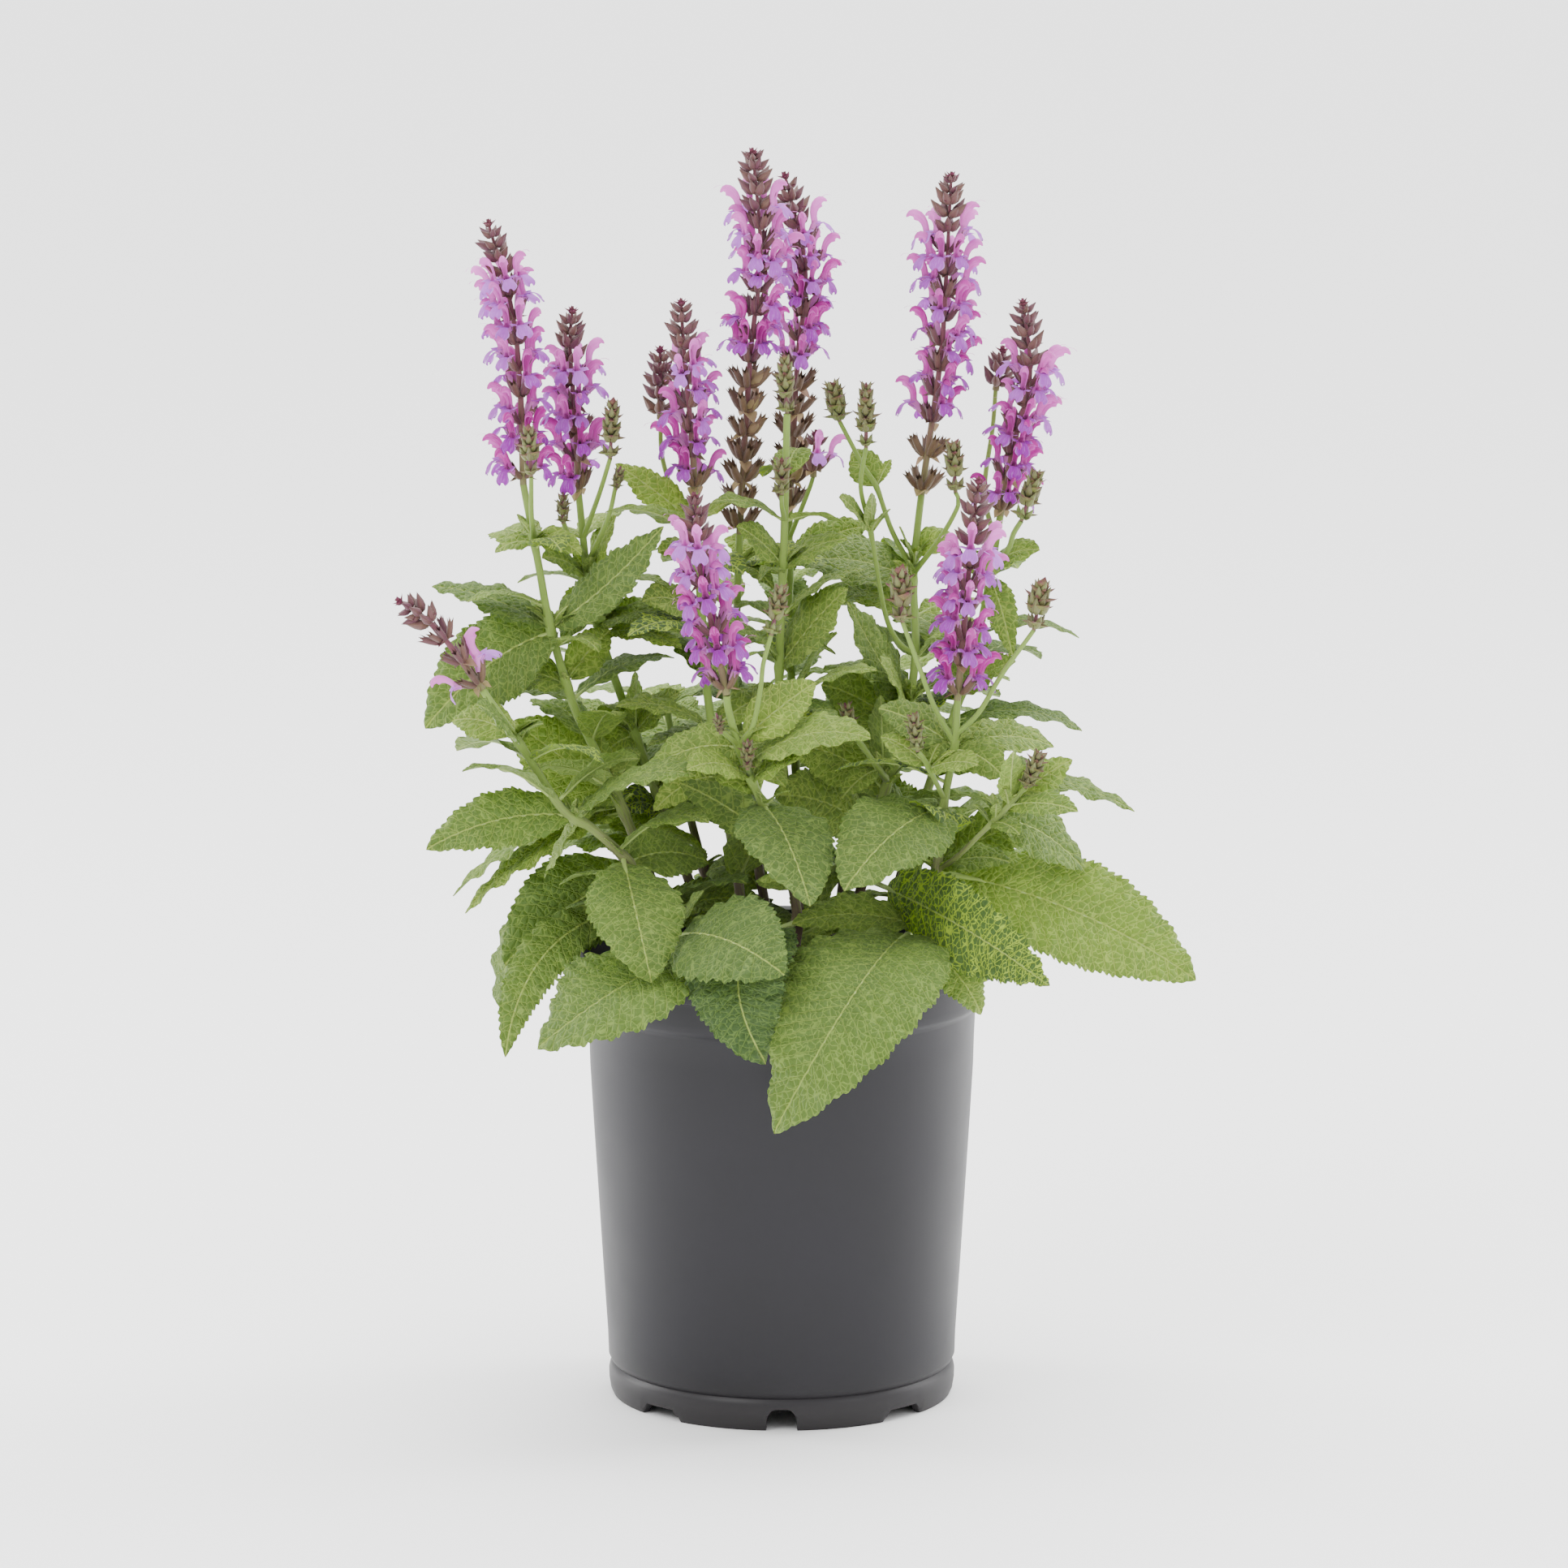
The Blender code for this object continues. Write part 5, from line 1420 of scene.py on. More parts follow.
def calyx_form(sides, closed):
    """A ribbed bell with five pointed teeth; closed draws the teeth together."""
    line = np.array(CALYX_PATH)
    radii = np.array(CALYX_RADII)
    if closed:
        radii = radii * np.array(CLOSED_SHARES)
    way = unit(np.gradient(line, axis=0))
    rows = len(line) + 1
    angles = np.arange(sides) * math.tau / sides
    points = np.zeros((rows, sides, 3))
    grain = np.zeros((rows, sides, 2))
    pointed = np.arange(sides) % 2 == 0
    for i in range(rows):
        j = min(i, len(line) - 1)
        radius = np.full(sides, radii[j])
        ahead = np.zeros(sides)
        if i == rows - 1:
            radius = radius * np.where(pointed, 0.15 if closed else 1.2, 0.9)
            ahead = np.where(pointed, 2.2, 0.2)
        rib = 1 + 0.07 * np.where(pointed, 1, -1) * (i > 0)
        over = np.array([-way[j, 1], way[j, 0]])
        outward = line[j, 0] + over[0] * radius * rib * np.cos(angles)
        upward = line[j, 1] + over[1] * radius * rib * np.cos(angles)
        points[i, :, 0] = outward + way[j, 0] * ahead
        points[i, :, 1] = radius * rib * 1.02 * np.sin(angles)
        points[i, :, 2] = upward + way[j, 1] * ahead
        grain[i, :, 0] = i / (rows - 1)
        grain[i, :, 1] = np.where(pointed, 1.0, 0.0)
    return points, grid_quads(rows, sides, True), grain


def bract_form():
    """A small pointed bract that stands out under a whorl."""
    rows, columns = 7, 5
    s = np.linspace(0, 1, rows)[:, None]
    w = np.linspace(-1, 1, columns)[None]
    swell = np.sin(math.pi * np.clip(s * 0.97 + 0.03, 0, 1) ** 0.55) ** 0.8
    half = BRACT_HALF * swell * (1 - s) ** 0.3 + 0.04
    points = np.zeros((rows, columns, 3))
    points[..., 0] = 0.6 + 6.0 * s
    points[..., 1] = half * w
    points[..., 2] = 0.3 + 0.4 * s - 1.7 * s * s + 1.1 * s ** 4 + 0.6 * half * np.abs(w) ** 1.5
    grain = np.zeros((rows, columns, 2))
    grain[..., 0] = s
    grain[..., 1] = w * 0.5 + 0.5
    return points, grid_quads(rows, columns), grain


FORMS = {
    "hood": hood_form(),
    "lip": lip_form(),
    "ear_left": ear_form(1),
    "ear_right": ear_form(-1),
    "throat": throat_form(),
    "style": style_form(),
    "calyx": calyx_form(10, False),
    "calyx_closed": calyx_form(8, True),
    "bract": bract_form(),
}


def tilted(points, degrees):
    """The points leaned outward by an angle about the whorl's centre."""
    a = math.radians(degrees)
    turned = points.copy()
    turned[..., 0] = points[..., 0] * math.cos(a) + points[..., 2] * math.sin(a)
    turned[..., 2] = points[..., 2] * math.cos(a) - points[..., 0] * math.sin(a)
    return turned


class Axis:
    """A spike's centre line, with a steady frame at each distance walked along it."""

    def __init__(self, line):
        self.line = smooth_line(line, 2.0)
        steps = [(b - a).length for a, b in zip(self.line, self.line[1:])]
        self.walked = np.concatenate([[0], np.cumsum(steps)])
        self.length = float(self.walked[-1])

    def frame(self, walked):
        """The point and the three ways of the spike's axis at a distance from its foot."""
        i = int(np.clip(np.searchsorted(self.walked, walked) - 1, 0, len(self.line) - 2))
        share = (walked - self.walked[i]) / (self.walked[i + 1] - self.walked[i])
        place = self.line[i].lerp(self.line[i + 1], share)
        up = (self.line[i + 1] - self.line[i]).normalized()
        first = Vector((1, 0, 0))
        first = (first - up * first.dot(up)).normalized()
        second = up.cross(first)
        return np.array(place), np.array(first), np.array(second), np.array(up)

    def put(self, body, form, walked, angle, size, tint, slot, lean=0.0, squeeze=1.0):
        """Add a form at an angle round the axis."""
        points, quads, grain = FORMS[form]
        place, first, second, up = self.frame(walked)
        local = tilted(points * size, lean)
        local[..., 1] *= squeeze
        a = math.radians(angle)
        out = first * math.cos(a) + second * math.sin(a)
        side = second * math.cos(a) - first * math.sin(a)
        world = place + local[..., :1] * out + local[..., 1:2] * side + local[..., 2:] * up
        body.add(world, quads, grain, tint, slot)


def add_axis(body, axis, thick, thin, age):
    """The spike's own stem."""
    count = len(axis.line)
    radii = [thick + (thin - thick) * (i / (count - 1)) ** 1.2 for i in range(count)]
    ages = [age + (1 - age) * i / (count - 1) for i in range(count)]
    add_tube(body, axis.line, radii, 8, (0.5, age), AXIS, 0.1, ages)


def add_flower(petals, axis, walked, angle, size, age, draw, lean):
    """One open flower's corolla."""
    tint = (draw.random(), age)
    lean = lean - 6 + draw.uniform(-9, 9)
    for form in ("hood", "throat"):
        axis.put(petals, form, walked, angle, size, tint, HOOD, lean)
    for form in ("lip", "ear_left", "ear_right"):
        axis.put(petals, form, walked, angle, size, tint, LIP, lean)
    if draw.random() < STYLE_SHARE:
        axis.put(petals, "style", walked, angle, size, tint, HOOD, lean)


def add_whorl(green, petals, axis, walked, kind, turn, size, age, fresh, share, draw):
    """A ring of six calyces with two bracts, and corollas on a share of them where it is open."""
    for side in (0, 180):
        papery = kind == "faded" or draw.random() < 0.5 - age
        bract = WHORL_BRACTS["papery" if papery else kind]
        tint = (draw.random(), age)
        own = size * bract["size"]
        if papery:
            own *= draw.uniform(*SHRUNK)
        lean = draw.uniform(*bract["leans"])
        place = walked - bract["drop"]
        slot, width = bract["slot"], bract["width"]
        axis.put(green, "bract", place, turn + side, own, tint, slot, lean, width)
        for spread in WHORL_ANGLES:
            angle = turn + side + spread + draw.uniform(-8, 8)
            own = size * draw.uniform(0.88, 1.08)
            lean = CALYX_LEANS[kind] + draw.uniform(-9, 9)
            tint = (draw.random(), age if kind != "faded" else 0.0)
            form = "calyx_closed" if kind == "bud" else "calyx"
            axis.put(green, form, walked, angle, own, tint, CALYX, lean)
            if kind == "faded" and draw.random() < HUSK_SHARE:
                axis.put(green, "calyx_closed", walked + 1.5, angle, size * 0.95, tint, PAPER, 16)
            if kind == "open" and draw.random() < share:
                own = FLOWER_SIZE * size * draw.uniform(0.86, 1.06)
                add_flower(petals, axis, walked, angle, own, fresh, draw, lean)


def make_flower_spike(name, spike, number):
    """A flowering spike in two pieces: its green parts and its petals."""
    draw = random.Random(SEED * 100 + number)
    axis = Axis([seen(*place) for place in spike["axis"]])
    green = Body()
    petals = Body()
    add_axis(green, axis, *FLOWER_STEM, 0.1)
    bloom = spike["bloom"]
    sparse = bloom and bloom[1] - bloom[0] < SPARSE_RANGE
    walked = FIRST_WHORL
    turn = draw.uniform(0, 90)
    while walked < axis.length - TIP_LENGTH:
        _, v = plane_place(Vector(axis.frame(walked)[0]))
        left = axis.length - walked
        age = walked / axis.length
        if bloom and v < bloom[0] - LOW_LIP:
            kind, size = "faded", FADED_SIZE
            gap = FADED_GAPS.get(name, FADED_GAPS["usual"]) * draw.uniform(0.94, 1.06)
        elif bloom and (v <= bloom[1] - HOOD_RISE or sparse and v <= bloom[1]):
            kind, size = "open", 1.0
            gap = LOW_WHORL_GAP + (HIGH_WHORL_GAP - LOW_WHORL_GAP) * age
            gap *= draw.uniform(0.92, 1.06)
        else:
            kind = "bud"
            size = min(LARGEST_BUD, 0.4 + left / 26)
            gap = min(HIGH_WHORL_GAP * 0.85, 2.8 + left / 8)
        fresh = 1.0
        if bloom and not sparse:
            fresh = max(0.0, (v - bloom[0]) / (bloom[1] - bloom[0])) ** 1.4
        share = SPARSE_SHARE if sparse else OPEN_SHARE
        add_whorl(green, petals, axis, walked, kind, turn, size, age, fresh, share, draw)
        turn += WHORL_TURN + draw.uniform(-8, 8)
        walked += gap
    tint = (draw.random(), 1.0)
    tip = axis.length - TIP_LENGTH
    for k in range(TIP_BRACTS):
        angle = 360 / TIP_BRACTS * k + turn
        axis.put(green, "bract", tip, angle, TIP_SIZE, tint, BRACT, TIP_LEANS[k % 2])
    piece = green.make("spike_" + name + "_calyces", SPIKE_MATERIALS)
    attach(piece, "root")
    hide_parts("flower_spike_" + name)
    if petals.points:
        bloom_piece = petals.make("spike_" + name + "_corollas", PETAL_MATERIALS)
        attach(bloom_piece, "root")


def add_bud_spike(body, base, top, radius, draw):
    """A young spike: a cone of overlapping pointed scales, with a whorl below a long one."""
    axis = Axis([seen(*base), seen(*base).lerp(seen(*top), 0.5), seen(*top)])
    add_axis(body, axis, *BUD_STEM, 0.2)
    long = axis.length > LONG_SPIKE
    first = BARE_FOOT if long else 0.4
    count = max(4, round((axis.length - first) / SCALE_GAP))
    places = [first + (axis.length - TIP_LENGTH - first) * i / (count - 1) for i in range(count)]
    if long:
        places.insert(0, 0.6)
    ripe = draw.uniform(0.0, 0.45)
    turn = draw.uniform(0, 90)
    for walked in places:
        share = walked / axis.length
        size = radius / SCALE_REACH * min(1.0, 0.72 + 1.1 * share) * (1 - 0.5 * share ** 1.6)
        age = min(1.0, ripe + 0.9 * share)
        for k in range(4):
            angle = turn + 90 * k + draw.uniform(-8, 8)
            own = size * SCALE_WIDTHS[k % 2]
            lean = -20 - 40 * share + draw.uniform(-10, 10)
            tint = (draw.random(), age)
            axis.put(body, "bract", walked, angle, own, tint, BRACT, lean, 1.2)
        for k in range(4):
            angle = turn + 90 * k + 45
            tint = (draw.random(), age)
            axis.put(body, "calyx_closed", walked + 0.5, angle, size * 0.6, tint, CALYX, -4)
        turn += 45


def make_bud_piece(name, base, top, radius, number):
    """A spike that is still in bud."""
    draw = random.Random(SEED * 300 + number)
    body = Body()
    add_bud_spike(body, base, top, radius, draw)
    piece = body.make("young_spike_" + name, YOUNG_MATERIALS)
    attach(piece, "root")
    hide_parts("bud_spike_" + name)


def make_shoot_pieces(name, shoot):
    """A leafy stem in two pieces: its stems and its leaves."""
    draw = random.Random(SEED * 500 + ord(name))
    stems = Body()
    for tube in TUBES[name]:
        line, radii = fine_stem(tube, ROOTS[name])
        add_tube(stems, line, radii, 12, (draw.random(), 0.0), 0, 0.11, stem_ages(line))
    piece = stems.make("stems_" + name, [STEM_MATERIAL])
    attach(piece, "root")
    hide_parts("leafy_stem_" + name)
    foliage = Body()
    for group, coarse in ((LEAVES, 1.0), (INNER_LEAVES, INNER_COARSE)):
        for leaf in group:
            if leaf.node == name:
                high = min(1.0, max(0.0, (leaf.tip.z - YOUNG_FROM) / YOUNG_RANGE))
                youth = high * 0.6 + 0.4 * (leaf.length() < SMALL_LEAF)
                add_leaf(foliage, leaf, youth, coarse)
    for leaf in axil_leaves(name, draw):
        add_leaf(foliage, leaf, 1.0)
    piece = foliage.make("leaves_" + name, LEAF_MATERIALS)
    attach(piece, "root")
    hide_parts("leafy_stem_" + name)
    small = Body()
    for base, top, radius in shoot.get("buds", []):
        add_bud_spike(small, base, top, radius, draw)
    if small.points:
        piece = small.make("small_buds_" + name, YOUNG_MATERIALS)
        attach(piece, "root")


def srgb(red, green, blue):
    """A colour given as 0 to 255 screen values, for a shader."""
    values = []
    for value in (red, green, blue):
        value /= 255
        values.append(value / 12.92 if value <= 0.04045 else ((value + 0.055) / 1.055) ** 2.4)
    return (*values, 1.0)


class Shader:
    """Short calls that build one material's nodes."""

    def __init__(self, name):
        self.material = bpy.data.materials.new(name)
        self.material.use_nodes = True
        self.tree = self.material.node_tree
        self.skin = self.tree.nodes["Principled BSDF"]

    def node(self, kind, **values):
        made = self.tree.nodes.new("ShaderNode" + kind)
        for key, value in values.items():
            setattr(made, key, value)
        return made

    def fill(self, socket, value):
        if isinstance(value, bpy.types.NodeSocket):
            self.tree.links.new(value, socket)
        else:
            socket.default_value = value

    def math(self, operation, *values, clamp=False):
        made = self.node("Math", operation=operation, use_clamp=clamp)
        for socket, value in zip(made.inputs, values):
            self.fill(socket, value)
        return made.outputs[0]

    def times(self, first, second):
        return self.math("MULTIPLY", first, second)

    def plus(self, first, second, clamp=False):
        return self.math("ADD", first, second, clamp=clamp)

    def minus(self, first, second):
        return self.math("SUBTRACT", first, second)

    def swayed(self, value, chance, amount, clamp=True):
        """The value, moved up or down by a chance from 0 to 1."""
        return self.plus(value, self.times(self.minus(chance, 0.5), amount), clamp)

    def from_middle(self, across):
        """How far a place from 0 to 1 lies from 0.5, from 0 to 1."""
        return self.times(self.math("ABSOLUTE", self.minus(across, 0.5)), 2.0)

    def mix(self, share, first, second):
        made = self.node("Mix", data_type="RGBA")
        self.fill(made.inputs["Factor"], share)
        self.fill(made.inputs[6], first)
        self.fill(made.inputs[7], second)
        return made.outputs[2]

    def span(self, value, low, high, out_low=0.0, out_high=1.0):
        """value's place between low and high, smoothly, from out_low to out_high."""
        made = self.node("MapRange", interpolation_type="SMOOTHSTEP")
        for socket, number in zip(made.inputs, (value, low, high, out_low, out_high)):
            self.fill(socket, number)
        return made.outputs[0]

    def map(self, name):
        """The two values of a UV map."""
        parts = self.node("SeparateXYZ")
        self.tree.links.new(self.node("UVMap", uv_map=name).outputs[0], parts.inputs[0])
        return parts.outputs[0], parts.outputs[1]

    def place(self, x, y, z):
        made = self.node("CombineXYZ")
        for socket, value in zip(made.inputs, (x, y, z)):
            self.fill(socket, value)
        return made.outputs[0]

    def scaled(self, values, scales):
        """A place from three values, each scaled, so that a pattern runs long one way."""
        return self.place(*(self.times(*pair) for pair in zip(values, scales)))

    def noise(self, place, scale, detail=3.0):
        made = self.node("TexNoise")
        self.fill(made.inputs["Vector"], place)
        made.inputs["Scale"].default_value = scale
        made.inputs["Detail"].default_value = detail
        return made.outputs[0]

    def cells(self, place, scale):
        """How far a place is from the edges of random cells."""
        made = self.node("TexVoronoi", feature="DISTANCE_TO_EDGE")
        self.fill(made.inputs["Vector"], place)
        made.inputs["Scale"].default_value = scale
        return made.outputs["Distance"]

    def bump(self, height, distance, strength=1.0):
        """Relief of that many metres on the shader's skin."""
        made = self.node("Bump")
        made.inputs["Distance"].default_value = distance
        made.inputs["Strength"].default_value = strength
        self.fill(made.inputs["Height"], height)
        self.fill(self.skin.inputs["Normal"], made.outputs[0])
        return made.outputs[0]

    def set(self, **values):
        for key, value in values.items():
            self.fill(self.skin.inputs[key.replace("_", " ")], value)

    def glow_through(self, share, colour, normal):
        """Let some light through the sheet, in a colour."""
        through = self.node("BsdfTranslucent")
        self.fill(through.inputs["Color"], colour)
        self.fill(through.inputs["Normal"], normal)
        mixed = self.node("MixShader")
        mixed.inputs[0].default_value = share
        self.tree.links.new(self.skin.outputs[0], mixed.inputs[1])
        self.tree.links.new(through.outputs[0], mixed.inputs[2])
        self.tree.links.new(mixed.outputs[0], self.tree.nodes["Material Output"].inputs[0])


def leaf_material(name, cells, veins, rib_colour, relief):
    """A leaf face: midrib, side veins and a net of fine veins, by places in millimetres.

    cells are its dark, light and patchy colours between veins; dark and light also paint light and
    shade. veins are the dark and light colours of veins, and that of painted light behind them,
    which also tints the light let through. relief below 0 raises the veins."""
    m = Shader(name)
    grain_a, grain_b = m.map("grain")
    luck, youth = m.map("tint")
    a = m.times(grain_a, 100.0)
    b = m.times(grain_b, 100.0)
    wide = m.math("ABSOLUTE", b)
    spread = m.times(luck, 90.0)
    place = m.place(a, b, spread)
    warp = m.times(m.minus(m.noise(place, 0.35), 0.5), 2.2)
    bent = m.place(m.plus(a, warp), m.minus(b, warp), spread)

    midrib = m.span(wide, 0.5, 0.2, 0.0, 0.8)
    side_reach = m.minus(a, m.times(wide, VEIN_SLANT))
    side_gap = m.math("PINGPONG", m.math("DIVIDE", m.plus(side_reach, warp), VEIN_SPACE), 0.5)
    sides = m.span(side_gap, 0.085, 0.025)
    net = m.cells(bent, 1 / NET_CELL)
    fine = m.cells(bent, 1 / FINE_CELL)
    lines = m.math("MAXIMUM", m.times(m.span(net, 0.085, 0.03), 0.85), sides)

    # young mixes youth with the tint's first value, painted light and shade on listed leaves and a
    # random tone on others
    young = m.plus(m.times(youth, 0.45), m.times(luck, 0.7), clamp=True)
    body = m.mix(young, cells[0], cells[1])
    body = m.mix(m.span(m.noise(place, 0.06, 2.0), 0.35, 0.75, 0.0, 0.45), body, cells[2])
    body = m.mix(m.times(m.span(fine, 0.1, 0.02), 0.2), body, veins[0])
    vein = m.mix(young, veins[0], veins[1])
    # Painted backlight: the veins of a leaf below 0 take the colour of light from behind
    vein = m.mix(m.span(luck, 0.0, BACKLIT), vein, veins[2])
    colour = m.mix(m.times(lines, 0.85), body, vein)
    colour = m.mix(midrib, colour, rib_colour)

    height = m.plus(m.times(net, 1.6), m.times(fine, 0.35))
    height = m.minus(height, m.times(m.math("MAXIMUM", sides, midrib), 0.5))
    normal = m.bump(m.times(height, relief), 0.0011, 0.85)
    m.set(Base_Color=colour, Roughness=m.span(net, 0.0, 0.4, 0.5, 0.66))
    m.set(Specular_IOR_Level=0.22, Sheen_Weight=0.06, Sheen_Roughness=0.5)
    m.set(Sheen_Tint=(0.85, 0.95, 0.8, 1))
    m.glow_through(LEAF_GLOW, m.mix(0.55, colour, veins[2]), normal)
    return m.material


def rib_material():
    """The pale leaf stalk and midrib."""
    m = Shader("leaf_rib")
    grain_a, grain_b = m.map("grain")
    luck, _ = m.map("tint")
    streaks = m.noise(m.scaled((grain_a, grain_b, luck), (14.0, 60.0, 1.0)), 1.0)
    colour = m.mix(streaks, srgb(138, 164, 78), srgb(172, 192, 106))
    m.bump(streaks, 0.0004, 0.5)
    m.set(Base_Color=colour, Roughness=0.55, Sheen_Weight=0.15, Sheen_Roughness=0.4)
    return m.material


def stem_material(name, old, young, furrow):
    """A hairy square stem: furrowed, and brown-purple with age."""
    m = Shader(name)
    grain_a, grain_b = m.map("grain")
    luck, age = m.map("tint")
    place = (grain_a, grain_b, luck)
    streaks = m.noise(m.scaled(place, (10.0, 40.0, 1.0)), 1.0, 4.0)
    spots = m.noise(m.scaled(place, (120.0, 90.0, 1.0)), 1.0, 2.0)
    turned = m.span(m.swayed(age, streaks, 0.5, clamp=False), 0.05, 0.45)
    colour = m.mix(turned, old, young)
    colour = m.mix(m.span(streaks, 0.5, 0.8, 0.0, 0.5), colour, furrow)
    m.bump(m.plus(streaks, m.times(spots, 0.5)), 0.0005, 0.6)
    m.set(Base_Color=colour, Roughness=0.6, Sheen_Weight=0.2, Sheen_Roughness=0.4)
    return m.material


def petal_material(name, low, high, pale, edge, glow=0.42):
    """A petal: deeper in low whorls, paler in high ones and towards its edge."""
    m = Shader(name)
    along, across = m.map("grain")
    luck, age = m.map("tint")
    body = m.mix(m.swayed(age, luck, 0.45), low, high)
    streaks = m.noise(m.scaled((along, across, luck), (3.0, 26.0, 9.0)), 1.0)
    body = m.mix(m.span(streaks, 0.45, 0.75, 0.0, 0.4), body, pale)
    rim = m.times(m.span(m.from_middle(across), 0.55, 1.0), m.span(along, 0.3, 0.8))
    body = m.mix(m.times(rim, 0.7), body, edge)
    foot = m.span(along, 0.3, 0.0)
    colour = m.mix(m.times(foot, 0.5), body, pale)
    normal = m.bump(streaks, 0.0003, 0.5)
    m.set(Base_Color=colour, Roughness=0.5, Specular_IOR_Level=0.2)
    m.set(Sheen_Weight=0.08, Sheen_Roughness=0.4)
    m.glow_through(glow, m.mix(0.1, colour, pale), normal)
    return m.material


def calyx_material(name, old, fresh, rib, edge):
    """Calyces and bracts: ribbed, dark purple-brown, greener where they are old or young."""
    m = Shader(name)
    along, across = m.map("grain")
    luck, age = m.map("tint")
    body = m.mix(m.span(age, 0.0, 0.2), old, fresh)
    body = m.mix(m.times(luck, 0.4), body, rib)
    mottle = m.noise(m.scaled((along, across, luck), (5.0, 5.0, 20.0)), 1.0)
    ribs = m.times(m.span(across, 0.72, 1.0), 0.42)
    colour = m.mix(ribs, body, rib)
    colour = m.mix(m.span(mottle, 0.5, 0.75, 0.0, 0.4), colour, edge)
    colour = m.mix(m.times(m.span(along, 0.3, 0.0), 0.45), colour, rib)
    m.bump(m.plus(mottle, ribs), 0.0004, 0.7)
    m.set(Base_Color=colour, Roughness=0.6, Sheen_Weight=0.15, Sheen_Roughness=0.4)
    return m.material


def bract_material(name, low, high, line, edge):
    """Bracts and scales: fine veins along them, and a darker rim and point."""
    m = Shader(name)
    along, across = m.map("grain")
    luck, age = m.map("tint")
    body = m.mix(m.swayed(age, luck, 0.5), low, high)
    streaks = m.noise(m.scaled((along, across, luck), (2.0, 16.0, 9.0)), 1.0)
    body = m.mix(m.span(streaks, 0.42, 0.7, 0.0, 0.6), body, line)
    side = m.times(m.span(m.from_middle(across), 0.6, 1.0), 0.7)
    rim = m.math("MAXIMUM", side, m.span(along, 0.5, 1.0))
    colour = m.mix(m.times(rim, 0.85), body, edge)
    m.bump(streaks, 0.0004, 0.7)
    m.set(Base_Color=colour, Roughness=0.6, Specular_IOR_Level=0.25)
    m.set(Sheen_Weight=0.1, Sheen_Roughness=0.4)
    return m.material


def pot_material():
    """Satin moulded plastic with a fine grain, faint flow lines and painted light at its foot."""
    m = Shader("charcoal_plastic")
    place = m.node("TexCoord").outputs["Object"]
    parts = m.node("SeparateXYZ")
    m.tree.links.new(place, parts.inputs[0])
    x, y, z = parts.outputs[0], parts.outputs[1], parts.outputs[2]
    grain = m.noise(place, 2600.0, 2.0)
    cloud = m.noise(place, 22.0, 4.0)
    flow = m.noise(m.scaled((x, y, z), (3.0, 3.0, 260.0)), 1.0, 3.0)
    low = m.span(z, 0.026, 0.0)
    colour = m.mix(m.span(cloud, 0.3, 0.7), srgb(20, 19, 24), srgb(26, 25, 30))
    # Painted light at the foot, lighter towards the bottom, where the pale floor throws light up
    colour = m.mix(m.times(low, 0.1), colour, srgb(90, 84, 78))
    rough = m.span(cloud, 0.3, 0.7, 0.42, 0.5)
    m.bump(m.plus(m.times(grain, 0.5), m.times(flow, 0.5)), 0.0001, 0.3)
    m.set(Base_Color=colour, Roughness=rough, Specular_IOR_Level=0.3)
    return m.material


def earth_material(name, dark, light, scale):
    """Damp peat or bark: dark, matt and rough."""
    m = Shader(name)
    place = m.node("TexCoord").outputs["Object"]
    coarse = m.noise(place, scale, 6.0)
    fine = m.noise(place, scale * 7, 5.0)
    colour = m.mix(m.span(coarse, 0.3, 0.72), dark, light)
    m.bump(m.plus(coarse, m.times(fine, 0.5)), 0.0016, 0.9)
    m.set(Base_Color=colour, Roughness=0.88, Specular_IOR_Level=0.25)
    return m.material


